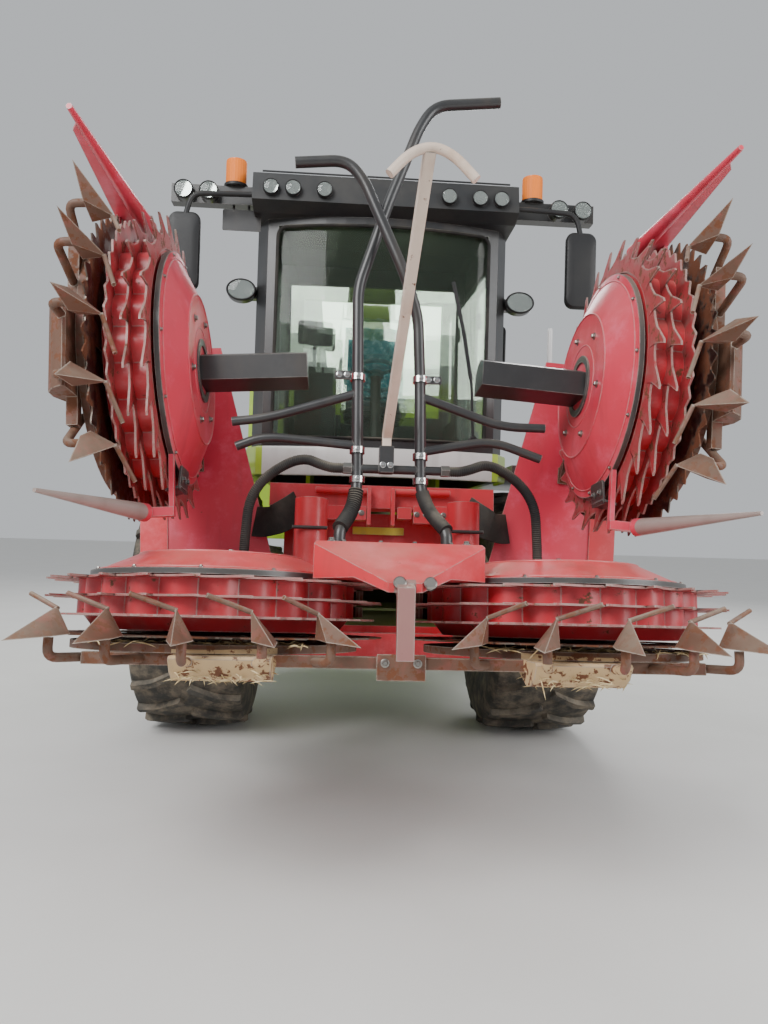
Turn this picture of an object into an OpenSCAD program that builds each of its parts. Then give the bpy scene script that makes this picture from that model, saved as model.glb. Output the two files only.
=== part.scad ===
// Self-propelled forage harvester with a rotary maize header, parked with the header raised and
// both header wings folded up.
// +Z is up, the header points to -Y and +X is the driver's left. Base sizes are measured from the
// middle of the front axle on the ground. Header sizes are measured from the point between the two
// centre drums at the height of the saw discs, and tilt with the header.

/* [Wheels] */
// Distance between the two axles
wheelbase = 2900; // [2840:10:3000]
// Radius of a front tyre out to its lugs
front_tyre_r = 925; // [900:5:940]
// Width of a front tyre
front_tyre_w = 790; // [740:10:800]
// Distance between the middles of the front tyres
front_track = 2500; // [2480:10:2560]
// Radius of the bead seat of a front rim
front_seat_r = 406; // [390:2:420]
// Radius of a front stub axle
front_stub_r = 90; // [80:1:100]
// Radius of a rear tyre out to its lugs
rear_tyre_r = 656; // [630:2:670]
// Width of a rear tyre
rear_tyre_w = 540; // [480:10:550]
// Distance between the middles of the rear tyres
rear_track = 2300; // [2280:10:2360]
// Radius of the bead seat of a rear rim
rear_seat_r = 305; // [295:1:315]
// Radius of a rear stub axle
rear_stub_r = 50; // [40:1:55]
// Thickness of a tyre's wall
tyre_wall = 45; // [35:1:50]
// Radius of a kingpin
kingpin_r = 32; // [26:1:38]
// Distance of a kingpin from the middle plane
kingpin_x = 850; // [840:5:860]

/* [Chassis] */
// Distance of a rail's inner face from the middle plane
rail_x = 380; // [360:5:390]
// Width of a rail
rail_w = 90; // [80:5:100]
// Height of the underside of the rails
rail_z = 850; // [830:5:880]
// Height of a rail's section
rail_h = 220; // [200:5:240]
// How far the rails end ahead of the engine cover's rear wall
rail_short = 90; // [60:10:120]
// Thickness of the side plates that carry the cab
side_plate_t = 30; // [20:1:40]
// Radius of the drawbar's pin bore
hitch_bore_r = 19; // [16:1:25]
// Thickness of the drawbar plate
hitch_t = 40; // [30:1:50]
// Radius of a steel hinge pin
pin_r = 20; // [16:1:24]

/* [Cab] */
// Half of the cab's width
cab_half_w = 850; // [820:5:880]
// Place of the cab's front corners
cab_front_y = -935; // [-960:5:-900]
// Place of the cab's back wall
cab_back_y = 650; // [600:10:700]
// Height of the cab's floor
cab_floor_z = 2000; // [1980:5:2040]
// Height of the underside of the cab's roof
cab_top_z = 3550; // [3500:5:3600]
// Thickness of the cab's walls and door
cab_wall = 50; // [40:1:60]
// Depth of the cab's floor box
cab_floor_h = 130; // [110:5:150]
// Thickness of the cab's floor plate
cab_deck_t = 12; // [8:1:20]
// Thickness of a window pane
pane_t = 6; // [5:0.5:8]
// Height of the cab's roof
roof_h = 280; // [240:5:300]

/* [Rear body] */
// Half of the engine cover's width
body_half_w = 1150; // [1100:10:1200]
// Place of the engine cover's front wall
body_front_y = 1420; // [1400:5:1450]
// Place of the engine cover's rear wall
body_rear_y = 3930; // [3900:10:4000]
// Height of the engine cover's floor
body_z = 1400; // [1380:5:1430]
// Height of the engine cover at its front
body_front_h = 1450; // [1350:10:1500]
// Height of the engine cover at its rear
body_rear_h = 1080; // [1000:10:1150]
// Thickness of the engine cover's walls
body_wall = 30; // [20:1:40]

/* [Spout] */
// Place of the spout's tower
tower_y = 1050; // [1030:5:1070]
// Radius of the spout's tower
tower_r = 230; // [200:5:250]
// Height of the turning ring
turn_z = 3050; // [3000:10:3100]
// Width of the spout
spout_w = 340; // [300:10:380]
// Thickness of the spout's sheet
spout_t = 12; // [8:1:16]
// Place of the spout's end
spout_end_y = 3850; // [3700:10:3900]

/* [Feeder] */
// Place of the pivot on which the feeder and header lift
pivot_y = -760; // [-780:5:-740]
// Height of the pivot on which the feeder and header lift
pivot_z = 1180; // [1170:5:1200]
// Width of the feeder duct
feeder_w = 780; // [740:10:790]
// Height of the feeder duct
feeder_h = 480; // [440:10:500]
// Thickness of the feeder duct's sheet
feeder_t = 12; // [8:1:16]
// Distance of a lift cylinder from the middle plane
lift_x = 300; // [280:5:310]

/* [Header] */
// Place of the header's own origin ahead of the front axle
header_y = -2580; // [-2600:5:-2560]
// Height of the header's own origin
header_z = 1040; // [1020:5:1060]
// Angle by which the raised header points up
header_tilt = 6.9; // [5:0.1:8]
// Distance of a centre drum's axis from the middle plane
drum_x = 750; // [745:1:760]
// Radius of a saw disc and of the toothed rings
disc_r = 710; // [690:1:714]
// Radius of a drum's body
drum_r = 555; // [530:5:570]
// Radius of a cap's dark ring
cap_r = 540; // [520:5:560]
// Radius of a post that carries a drum
post_r = 60; // [50:1:70]
// Height of a drum's top ring
drum_top = 214; // [206:1:216]
// Height of a cap's ring
cap_z = 222; // [222:1:226]
// Height of a cap's top
cap_top = 325; // [310:1:340]
// Thickness of the header's sheet
sheet = 8; // [6:1:10]
// Distance between the drums and the front of the header's frame
frame_gap = 10; // [10:1:20]
// Depth of the header's frame
frame_d = 180; // [160:5:200]
// Number of pointed tips in front of a drum
tip_count = 5; // [3:2:7]
// Angle between two tips
tip_step = 19; // [17:0.5:20]
// Radius of a guide rod
rod_r = 11; // [8:1:13]

/* [Wings] */
// Distance of a wing drum's axis from the middle plane with the wing lowered
wing_x = 2250; // [2245:1:2260]
// Place of a wing drum's axis behind the centre drums
wing_y = 140; // [120:5:160]
// Distance of a wing's fold hinge from the middle plane
fold_x = 1100; // [1095:1:1105]
// Height of a wing's fold hinge
fold_z = 60; // [55:1:65]
// Angle by which a wing is folded up
fold_angle = 86; // [84:0.5:87]
// Radius of a fold hinge's pin
fold_pin_r = 28; // [24:1:32]
// Length of the black arm that stands on a wing's cap
arm_len = 500; // [460:10:520]
// Distance of the outer divider from the middle plane with the wing lowered
divider_x = 3015; // [3010:1:3030]

/* [Hidden] */

$fn = 64;
// How far the middle of the overall length lies behind the front axle
origin_y = 230;
// Clearance at a seat between two pieces
seat_gap = 0.3;
// Radial play of a pin in its bore
pin_gap = 0.1;
// Clearance between a moving piece and what it passes
run_gap = 8;

front_rim_w = front_tyre_w - 130;
rear_rim_w = rear_tyre_w - 80;
rim_t = 14;
flange_h = 26;
front_disc_x = 60;
rear_disc_x = 50;
hub_half = 40;
axle_half_d = 130;
beam_low = 445;
beam_high = 225;
final_drive_r = 260;
rear_beam_h = 220;
fork_slot = 150;
fork_r = 70;
barrel_r = 62;

rail_rear_y = body_rear_y - rail_short;
hitch_y = body_rear_y + 30;
hitch_z = rail_z - 130;
rail_out = rail_x + rail_w;
rail_top = rail_z + rail_h;
rail_front_y = 300;
front_axle_z = front_tyre_r;
rear_axle_z = rear_tyre_r;
front_beam_top = front_axle_z - beam_high;
housing_back_y = rail_front_y - 10;
blower_top = 1560;
cab_under_z = cab_floor_z - cab_floor_h;
body_floor_top = body_z + body_wall;
plate_half = rail_out + side_plate_t;
housing_half = rail_out - seat_gap;

frame_front = wing_y + disc_r + frame_gap;
frame_back = frame_front + frame_d;
frame_z0 = -150;
frame_top_z = 830;
mouth_half = feeder_w / 2 - feeder_t;
mouth_z0 = 40;
mouth_z1 = 486;
pan_r = 600;
pan_z = -35;
pan_rim_z = -67;
bar_h = 45;
bar_y = -560;
tip_base_r = disc_r + 20;
tip_nose_r = disc_r + 190;
tip_w = 90;

cylinder_r = 45;
lift_anchor_y = -axle_half_d - 80;
lift_anchor_z = front_axle_z - 365;
lift_eye_y = pivot_y - 590;
lift_eye_z = pivot_z - feeder_h / 2 - 70;
lift_len = norm([lift_eye_y - lift_anchor_y, lift_eye_z - lift_anchor_z]);
lift_angle = atan2(lift_eye_z - lift_anchor_z, lift_anchor_y - lift_eye_y);

fold_lug_r = 200;
fold_anchor_x = 500;
fold_anchor_z = fold_z + 165;
fold_y = frame_back + 55;

// Route of a hose from the cross tube down to a cap, as it lies
hose_r = 22;
hose_route = [[230.3, -140, 720], [300, -140, 720], [430, -100, 780], [640, -40, 640], [660, 0, 405], [660, 0, 325.3]];

// Point on a circle of radius r at angle a
function polar(r, a) = [r * cos(a), r * sin(a)];
// Value that lies a share t of the way from a to b
function mix(a, b, t) = a + (b - a) * t;
function unit(v) = v / norm(v);

// Points of an arc from angle a0 to angle a1 in n steps
function arc(c, r, a0, a1, n) = [for (i = [0:n]) c + polar(r, mix(a0, a1, i / n))];

// A path whose inner corners are rounded by a curve that starts the length b from each corner
function bent(p, b, n = 4) = [
    for (i = [0:len(p) - 1])
        each (i == 0 || i == len(p) - 1) ? [p[i]] :
            let (a = p[i] + unit(p[i - 1] - p[i]) * b, c = p[i] + unit(p[i + 1] - p[i]) * b)
            [for (k = [0:n]) let (t = k / n) a * (1 - t) * (1 - t) + p[i] * 2 * t * (1 - t) + c * t * t]
];

module at_base() translate([0, -origin_y, 0]) children();

module at_header() at_base() translate([0, header_y, header_z]) rotate([-header_tilt, 0, 0]) children();

// Draws its children on the left side, or mirrored on the right side
module on_side(side) {
    if (side < 0) mirror([1, 0, 0]) children();
    else children();
}

module at_wing(side) at_header() on_side(side) translate([fold_x, 0, fold_z])
    rotate([0, -fold_angle, 0]) translate([-fold_x, 0, -fold_z]) children();

// A box between two corners
module block(a, b) translate(a) cube(b - a);

// A cylinder along X, from x0 to x1
module rod_x(r, x0, x1) translate([x0, 0, 0]) rotate([0, 90, 0]) cylinder(r = r, h = x1 - x0);

// A cylinder along Y, from y0 to y1
module rod_y(r, y0, y1) translate([0, y1, 0]) rotate([90, 0, 0]) cylinder(r = r, h = y1 - y0);

// A side view of points (y, z), drawn out along X from x0 to x1
module side_profile(p, x0, x1) translate([x0, 0, 0]) rotate([90, 0, 90]) linear_extrude(x1 - x0) polygon(p);

// A front view of points (x, z), drawn out along Y from y0 to y1
module front_profile(p, y0, y1) translate([0, y1, 0]) rotate([90, 0, 0]) linear_extrude(y1 - y0) polygon(p);

// A tube of n sides along a path, with the sides turned by the direction ref
module tube_along(p, r, n = 8, ref = [0, 1, 0]) {
    last = len(p) - 1;
    rings = [
        for (i = [0:last])
            let (t = unit(p[min(i + 1, last)] - p[max(i - 1, 0)]), u = unit(cross(t, ref)), v = cross(t, u))
            for (k = [0:n - 1]) p[i] + r * (cos(360 * k / n) * u + sin(360 * k / n) * v)
    ];
    faces = concat(
        [[for (k = [0:n - 1]) k]],
        [for (i = [0:last - 1]) for (k = [0:n - 1])
            [i * n + k, (i + 1) * n + k, (i + 1) * n + (k + 1) % n, i * n + (k + 1) % n]],
        [[for (k = [n - 1:-1:0]) last * n + k]]
    );
    polyhedron(points = rings, faces = faces);
}

// A tyre's open section as points (radius, across), from one bead round the tread to the other
function tyre_edge(r, half_w, half_rim, seat_r) = let (shoulder = r - 60, foot = seat_r + flange_h + 6) concat(
    [[seat_r, half_rim], [foot, half_rim]],
    [for (i = [1:4]) let (t = i / 5)
        [mix(foot, shoulder, t), half_rim + (half_w - half_rim) * sin(180 * mix(0.1, 0.75, t))]],
    [[shoulder, half_w - 12], [r - 22, half_w - 45], [r, half_w / 3]]
);
function mirrored(p) = [for (q = p) [q[0], -q[1]]];
function reversed(p) = [for (i = [len(p) - 1:-1:0]) p[i]];

module tyre(r, w, rim_w, seat_r) {
    outer = tyre_edge(r, w / 2, rim_w / 2, seat_r);
    inner = tyre_edge(r - tyre_wall, w / 2 - tyre_wall, rim_w / 2 - tyre_wall, seat_r);
    rotate([0, 90, 0]) rotate_extrude()
        polygon(concat(outer, reversed(mirrored(outer)), mirrored(inner), reversed(inner)));
}

module rim(seat_r, rim_w, bore_r, hub_r, disc_x) {
    half = rim_w / 2;
    r = seat_r - seat_gap;
    rotate([0, 90, 0]) rotate_extrude() polygon([
        [bore_r, disc_x - hub_half], [hub_r, disc_x - hub_half], [hub_r, disc_x - rim_t / 2],
        [r - rim_t, disc_x - rim_t / 2], [r - rim_t, -half - rim_t], [r + flange_h, -half - rim_t],
        [r + flange_h, -half - seat_gap], [r, -half - seat_gap], [r, half + seat_gap],
        [r + flange_h, half + seat_gap], [r + flange_h, half + rim_t], [r - rim_t, half + rim_t],
        [r - rim_t, disc_x + rim_t / 2], [hub_r, disc_x + rim_t / 2], [hub_r, disc_x + hub_half],
        [bore_r, disc_x + hub_half]
    ]);
}

module front_wheel_place(side) at_base() on_side(side) translate([front_track / 2, 0, front_axle_z]) children();
module rear_wheel_place(side) at_base() on_side(side) translate([rear_track / 2, wheelbase, rear_axle_z]) children();

module front_tyre(side) color("#3c3b38") front_wheel_place(side)
    tyre(front_tyre_r, front_tyre_w, front_rim_w, front_seat_r);
module front_rim(side) color("#d9d8cf") front_wheel_place(side)
    rim(front_seat_r, front_rim_w, front_stub_r + pin_gap, front_stub_r + 70, front_disc_x);
module rear_tyre(side) color("#3c3b38") rear_wheel_place(side)
    tyre(rear_tyre_r, rear_tyre_w, rear_rim_w, rear_seat_r);
module rear_rim(side) color("#d9d8cf") rear_wheel_place(side)
    rim(rear_seat_r, rear_rim_w, rear_stub_r + pin_gap, rear_stub_r + 45, rear_disc_x);

// Two rails, cross members, side plates up to the cab, stands under the engine cover and the drawbar
module chassis() color("#b9cf3a") at_base() {
    difference() {
        union() {
            for (side = [-1, 1]) on_side(side) {
                block([rail_x, rail_front_y, rail_z], [rail_out, rail_rear_y, rail_top]);
                block([rail_out, -rail_front_y, front_beam_top], [plate_half, 2 * rail_front_y, cab_floor_z - cab_deck_t - seat_gap]);
                for (y = [body_front_y + 60, wheelbase - 300, rail_rear_y - 250])
                    block([rail_x, y, rail_top], [rail_out, y + rail_w, body_z]);
            }
            for (y = [rail_front_y, body_front_y, wheelbase - axle_half_d, rail_rear_y - 60])
                block([-rail_x, y, rail_z], [rail_x, y + 60, rail_top]);
            block([-rail_x, wheelbase + axle_half_d - 60, rail_z], [rail_x, wheelbase + axle_half_d, rail_top]);
            block([-120, rail_rear_y - 60, hitch_z], [120, rail_rear_y, rail_z]);
            block([-100, rail_rear_y - 60, hitch_z], [100, hitch_y + 50, hitch_z + hitch_t]);
        }
        translate([0, hitch_y, hitch_z - 20]) cylinder(r = hitch_bore_r, h = hitch_t + 60);
    }
}

// Low beam between drop housings, with the final drives, the stub axles and the lift cylinders' lugs
module front_axle() color("#6f8c2c") at_base() {
    reach = front_track / 2 + front_disc_x + hub_half;
    block([-640, -axle_half_d, front_axle_z - beam_low], [640, axle_half_d, front_beam_top]);
    for (side = [-1, 1]) on_side(side) {
        block([560, -axle_half_d, front_axle_z - beam_low], [640, axle_half_d, front_axle_z]);
        translate([0, 0, front_axle_z]) rod_x(final_drive_r, 600, 800);
        translate([0, 0, front_axle_z]) rod_x(front_stub_r, 790, reach);
        for (dx = [-60, 35])
            side_profile([
                [-axle_half_d + 1, lift_anchor_z - 45], [lift_anchor_y - 30, lift_anchor_z - 30],
                [lift_anchor_y - 30, lift_anchor_z + 30], [-axle_half_d + 1, lift_anchor_z + 60]
            ], lift_x + dx, lift_x + dx + 25);
        translate([0, lift_anchor_y, lift_anchor_z]) rod_x(pin_r, lift_x - 60, lift_x + 60);
    }
}

// Beam with forked ends for the kingpins, and the saddle under the rails
module rear_axle() color("#6f8c2c") at_base() translate([0, wheelbase, rear_axle_z]) difference() {
    union() {
        block([-kingpin_x, -fork_r, -rear_beam_h / 2], [kingpin_x, fork_r, rear_beam_h / 2]);
        for (side = [-1, 1]) on_side(side)
            translate([kingpin_x, 0, -rear_beam_h / 2]) cylinder(r = fork_r, h = rear_beam_h);
        block([-rail_x, -axle_half_d, rear_beam_h / 2], [rail_x, axle_half_d, rail_z - rear_axle_z]);
    }
    for (side = [-1, 1]) on_side(side) {
        block([kingpin_x - fork_r - 8, -fork_r - 10, -fork_slot / 2], [kingpin_x + fork_r + 10, fork_r + 10, fork_slot / 2]);
        translate([kingpin_x, 0, -rear_beam_h / 2 - 1]) cylinder(r = kingpin_r + pin_gap, h = rear_beam_h + 2);
    }
}

// Steered knuckle: kingpin, barrel, stub axle and steering arm
module knuckle(side) color("#555a52") at_base() on_side(side) translate([kingpin_x, wheelbase, rear_axle_z]) {
    reach = rear_track / 2 - kingpin_x + rear_disc_x + hub_half;
    translate([0, 0, -rear_beam_h / 2]) cylinder(r = kingpin_r, h = rear_beam_h);
    translate([0, 0, -fork_slot / 2 + seat_gap]) cylinder(r = barrel_r, h = fork_slot - 2 * seat_gap);
    rod_x(rear_stub_r, 0, reach);
    block([-22, 0, -20], [22, 270, 20]);
}

// Housing of the chopping drum between the side plates, with cheeks that hold the feeder's pivot
module chopper_housing() color("#5d6d33") at_base() difference() {
    side_profile([
        [pivot_y - 130, pivot_z - 150], [pivot_y + 20, pivot_z - 330], [-250, front_beam_top + 40],
        [housing_back_y, front_beam_top + 40], [housing_back_y, 1500], [60, 1620],
        [-420, 1560], [pivot_y + 40, pivot_z + 250], [pivot_y - 130, pivot_z + 130]
    ], -housing_half, housing_half);
    side_profile([
        [pivot_y + 50, pivot_z - 100], [-240, front_beam_top + 65], [housing_back_y - 25, front_beam_top + 65],
        [housing_back_y - 25, rail_top + 30], [housing_back_y + 1, rail_top + 30], [housing_back_y + 1, 1470],
        [50, 1590], [-410, 1530], [pivot_y + 50, pivot_z + 100]
    ], -housing_half + 25, housing_half - 25);
    translate([0, pivot_y, pivot_z]) rod_x(feeder_h / 2 + run_gap, -feeder_w / 2 - 6, feeder_w / 2 + 6);
    block([-feeder_w / 2 - 6, pivot_y - 400, pivot_z - 400], [feeder_w / 2 + 6, pivot_y, pivot_z + 400]);
    block([-feeder_w / 2 - 6, pivot_y - 1, pivot_z - 400], [feeder_w / 2 + 6, pivot_y + feeder_h / 4, pivot_z]);
    translate([0, pivot_y, pivot_z]) rod_x(pin_r * 2 + pin_gap, -housing_half - 1, housing_half + 1);
}

// Blower housing on the rails, the tower and the fixed half of the turning ring
module spout_base() color("#5d6d33") at_base() difference() {
    union() {
        block([-housing_half, housing_back_y + seat_gap, rail_top], [housing_half, body_front_y - 20, blower_top]);
        translate([0, tower_y, blower_top - 10]) cylinder(r = tower_r, h = turn_z - blower_top + 10);
        translate([0, tower_y, turn_z - 40]) cylinder(r = tower_r + 60, h = 40);
    }
    block([-housing_half + 25, housing_back_y - 10, rail_top + 30], [housing_half - 25, body_front_y - 45, blower_top - 25]);
    translate([0, tower_y, blower_top - 60]) cylinder(r = tower_r - 15, h = turn_z);
}

// Turning ring with the cheeks that hold the spout's lift pin
lift_pin_y = tower_y - 130;
lift_pin_z = turn_z + 110;
module spout_collar() color("#3a3f3a") at_base() {
    difference() {
        translate([0, tower_y, turn_z + seat_gap]) cylinder(r = tower_r + 60, h = 40);
        translate([0, tower_y, turn_z - 1]) cylinder(r = tower_r - 60, h = 60);
    }
    for (side = [-1, 1]) on_side(side) difference() {
        block([spout_w / 2 + run_gap, lift_pin_y - 60, turn_z + 30], [spout_w / 2 + run_gap + 25, lift_pin_y + 60, lift_pin_z + 50]);
        translate([0, lift_pin_y, lift_pin_z]) rod_x(pin_r + pin_gap, 0, spout_w);
    }
}

// Side view of the spout, inset by the sheet's thickness where i is not 0
function spout_side(i) = concat(
    [[tower_y - 170 + i, turn_z + 60 - i]],
    arc([tower_y + 430, turn_z + 130], 600 - i, 180, 95, 10),
    [[spout_end_y + i, turn_z + 560 - i], [spout_end_y + i, turn_z + 330 + i]],
    arc([tower_y + 430, turn_z + 130], 300 + i, 95, 180, 10),
    [[tower_y + 130 - i, turn_z + 60 - i]]
);

// Hollow spout that arches back over the engine cover, with its lift pin
module spout() color("#a9bf35") at_base() {
    difference() {
        side_profile(spout_side(0), -spout_w / 2, spout_w / 2);
        side_profile(spout_side(spout_t), -spout_w / 2 + spout_t, spout_w / 2 - spout_t);
    }
    for (side = [-1, 1]) on_side(side) {
        translate([0, lift_pin_y, lift_pin_z]) rod_x(pin_r, spout_w / 2 - spout_t / 2, spout_w / 2 + run_gap + 25);
        difference() {
            side_profile([
                [spout_end_y - 60, flap_z - 30], [flap_y + 10, flap_z - 24], [flap_y + 24, flap_z],
                [flap_y + 10, flap_z + 24], [spout_end_y - 60, flap_z + 24]
            ], spout_w / 2 - 1, spout_w / 2 + spout_t);
            translate([0, flap_y, flap_z]) rod_x(flap_rod_r + pin_gap, 0, spout_w);
        }
    }
}

// Curved flap that hangs from its rod at the spout's end
flap_rod_r = 12;
flap_y = spout_end_y + 20;
flap_z = turn_z + 545;
module spout_flap() color("#3a3f3a") at_base() {
    hub = [flap_y - 172, flap_z - 246];
    side_profile(concat(arc(hub, 300, 55, -5, 8), arc(hub, 292, -5, 55, 8)), -spout_w / 2 + 4, spout_w / 2 - 4);
    translate([0, flap_y, flap_z]) rod_x(flap_rod_r, -spout_w / 2 - spout_t, spout_w / 2 + spout_t);
}

// Plan of the cab's wall, inset by i: a bowed front, chamfered front corners and straight sides
cab_bow_r = 2600;
cab_chord = cab_half_w - 80;
cab_bow_y = cab_front_y + sqrt(cab_bow_r * cab_bow_r - cab_chord * cab_chord);
function cab_plan(i) = let (half = cab_chord - 0.6 * i, a = asin(half / (cab_bow_r - i))) concat(
    arc([0, cab_bow_y], cab_bow_r - i, 270 - a, 270 + a, 12),
    [[cab_half_w - i, cab_front_y + 135 + 0.3 * i], [cab_half_w - i, cab_back_y - i],
     [i - cab_half_w, cab_back_y - i], [i - cab_half_w, cab_front_y + 135 + 0.3 * i]]
);

// The cab's glazed openings, each drawn s smaller along its own edges
door_y0 = cab_front_y + 165;
door_y1 = cab_back_y - 410;
sill_z = cab_floor_z + 60;
head_z = cab_top_z - 50;
module cab_openings(s) {
    block([-cab_chord + 70 + s, -2000, cab_floor_z + 90 + s], [cab_chord - 70 - s, cab_front_y + 60, head_z - s]);
    block([-600 + s, cab_back_y - 100, 2500 + s], [600 - s, cab_back_y + 100, head_z - s]);
    block([-2000, door_y0 + s, sill_z + 40 + s], [-cab_half_w + 100, door_y1 - s, head_z - s]);
    for (side = [-1, 1]) on_side(side)
        block([cab_half_w - 100, door_y1 + 70 + s, 2500 + s], [2000, cab_back_y - 60 - s, head_z - s]);
}

// Hollow cab body: floor box, pillars and sills, with its windows and the doorway cut, and the door's
// hinge brackets
door_hinge_x = cab_half_w + 20;
module cab_frame() color("#26282a") at_base() {
    for (z = [sill_z + 200, head_z - 260]) for (dz = [-30 - seat_gap, 60 + seat_gap]) translate([0, 0, z + dz]) {
        translate([door_hinge_x, door_y1, 0]) cylinder(r = 15, h = 30);
        block([cab_half_w - 5, door_y1, 0], [door_hinge_x + 15, door_y1 + 22, 30]);
    }
    cab_shell();
}
module cab_shell() difference() {
    translate([0, 0, cab_under_z]) linear_extrude(cab_top_z - cab_under_z) polygon(cab_plan(0));
    translate([0, 0, cab_floor_z]) linear_extrude(cab_top_z) polygon(cab_plan(cab_wall));
    translate([0, 0, cab_under_z - 1]) linear_extrude(cab_floor_h - cab_deck_t + 1) polygon(cab_plan(cab_wall));
    cab_openings(0);
    block([cab_half_w - 100, door_y0, sill_z], [2000, door_y1, head_z]);
}

// Panes set in the cab's openings
module cab_glass() color("#39443c") at_base() intersection() {
    translate([0, 0, cab_floor_z]) linear_extrude(cab_top_z - cab_floor_z) difference() {
        polygon(cab_plan(cab_wall / 2 - pane_t / 2));
        polygon(cab_plan(cab_wall / 2 + pane_t / 2));
    }
    cab_openings(seat_gap);
}

// Roof slab with a slanted front face, hollow above the cab, with pockets for its round lamps
lamp_r = 52;
lamp_z = cab_top_z + 115;
roof_front_y = cab_front_y - 215;
roof_half_w = cab_half_w + 10;
module cab_roof() color("#2b2d2f") at_base() difference() {
    side_profile([
        [roof_front_y, cab_top_z + 40], [roof_front_y + 25, cab_top_z + roof_h - 60],
        [roof_front_y + 150, cab_top_z + roof_h], [cab_back_y - 40, cab_top_z + roof_h],
        [cab_back_y + 60, cab_top_z + roof_h - 90], [cab_back_y + 60, cab_top_z], [roof_front_y + 110, cab_top_z]
    ], -roof_half_w, roof_half_w);
    block([-cab_half_w + cab_wall, cab_front_y + 100, cab_top_z - 1], [cab_half_w - cab_wall, cab_back_y - cab_wall, cab_top_z + roof_h - 40]);
    for (side = [-1, 1]) on_side(side) for (x = [400, 600, 740])
        translate([x, 0, lamp_z]) rod_y(lamp_r + seat_gap, roof_front_y - 50, roof_front_y + 60);
}

// Door with its two hinge knuckles along the rear edge
module cab_door() color("#26282a") at_base() {
    difference() {
        block([cab_half_w - cab_wall, door_y0 + 6, sill_z + 6], [cab_half_w, door_y1 - 6, head_z - 6]);
        block([cab_half_w - 100, door_y0 + 60, sill_z + 60], [cab_half_w + 10, door_y1 - 60, head_z - 60]);
    }
    for (z = [sill_z + 200, head_z - 260]) {
        translate([door_hinge_x, door_y1, z]) cylinder(r = 16, h = 60);
        block([cab_half_w, door_y1 - 40, z], [door_hinge_x, door_y1, z + 60]);
    }
}

module door_glass() color("#39443c") at_base() block(
    [cab_half_w - cab_wall / 2 - pane_t / 2, door_y0 + 60 + seat_gap, sill_z + 60 + seat_gap],
    [cab_half_w - cab_wall / 2 + pane_t / 2, door_y1 - 60 - seat_gap, head_z - 60 - seat_gap]
);

// Driver's seat: pedestal, cushion and back
module seat() color("#2f7f8c") at_base() {
    block([-170, -150, cab_floor_z], [170, 200, cab_floor_z + 380]);
    block([-260, -260, cab_floor_z + 380], [260, 240, cab_floor_z + 500]);
    side_profile([[170, cab_floor_z + 500], [240, cab_floor_z + 500], [330, cab_floor_z + 1180], [230, cab_floor_z + 1180]], -250, 250);
}

// Steering column with its wheel, and the console at the driver's right
module controls() color("#2e3033") at_base() {
    translate([0, -560, cab_floor_z]) {
        rotate([-25, 0, 0]) translate([0, 0, -10]) intersection() {
            cylinder(r = 40, h = 760);
            block([-100, -100, 40], [100, 100, 760]);
        }
        rotate([-25, 0, 0]) translate([0, 0, 745]) {
            rotate_extrude() translate([190, 0]) circle(r = 16);
            cylinder(r = 60, h = 24);
            for (a = [0, 120, 240]) rotate([0, 0, a]) block([-14, 40, 2], [14, 190, 14]);
        }
        cylinder(r = 70, h = 40);
    }
    side_profile([[-420, cab_floor_z], [180, cab_floor_z], [180, cab_floor_z + 620], [-380, cab_floor_z + 700], [-420, cab_floor_z + 620]], -560, -300);
}

// Round roof lamps, the side arms with their lamps, the oval lamps and the beacons
lamp_arm_x = roof_half_w + 540;
side_lamp_x = cab_half_w + 100;
side_lamp_z = cab_top_z - 450;
module lights() at_base() for (side = [-1, 1]) on_side(side) {
    color("#e8e8e2") for (x = [400, 600, 740])
        translate([x, 0, lamp_z]) rod_y(lamp_r, roof_front_y - 8, roof_front_y + 60 - seat_gap);
    color("#222426") block([roof_half_w, cab_front_y - 60, cab_top_z + 60], [lamp_arm_x, cab_front_y + 20, cab_top_z + 180]);
    color("#e8e8e2") for (x = [lamp_arm_x - 250, lamp_arm_x - 90])
        translate([x, 0, cab_top_z + 120]) rod_y(62, cab_front_y - 110, cab_front_y - 60);
    color("#222426") block(
        [cab_half_w + seat_gap, cab_front_y + 150, side_lamp_z - 40], [side_lamp_x, cab_front_y + 210, side_lamp_z + 40]
    );
    color("#e8e8e2") translate([side_lamp_x, cab_front_y + 100, side_lamp_z]) scale([1, 1, 0.75]) rod_y(100, 0, 60);
    color("#e08a1e") translate([roof_half_w + 130, cab_front_y - 20, cab_top_z + 180]) cylinder(r = 66, h = 180);
}

// Mirrors on bent arms from the roof's front corners
mirror_x = roof_half_w + 420;
mirror_top_z = cab_top_z - 60;
module mirrors() color("#1f2022") at_base() for (side = [-1, 1]) on_side(side) {
    tube_along(bent([
        [roof_half_w + seat_gap, cab_front_y - 150, cab_top_z + 90], [roof_half_w + 80, cab_front_y - 150, cab_top_z + 90],
        [mirror_x - 40, cab_front_y - 190, cab_top_z + 60],
        [mirror_x, cab_front_y - 190, mirror_top_z]
    ], 70), 17, ref = [0, 1, 0.01]);
    block([mirror_x - 100, cab_front_y - 215, mirror_top_z - 500], [mirror_x + 100, cab_front_y - 165, mirror_top_z]);
}

// Deck at the cab's sides and the ladder at the driver's left
deck_z = 2 * front_tyre_r + 40;
module platform() at_base() {
    color("#c9ccce") handrails();
    color("#3c4043") deck();
}
module deck() {
    block([cab_half_w + seat_gap, -1160, deck_z], [1500, 600, deck_z + 60]);
    block([-1250, -700, deck_z], [-cab_half_w - seat_gap, 600, deck_z + 60]);
    for (x = [1080, 1460]) block([x, -1150, 640], [x + 30, -1090, deck_z]);
    for (i = [0:4]) block([1080, -1160, 660 + 250 * i], [1490, -1040, 690 + 250 * i]);
}

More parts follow.
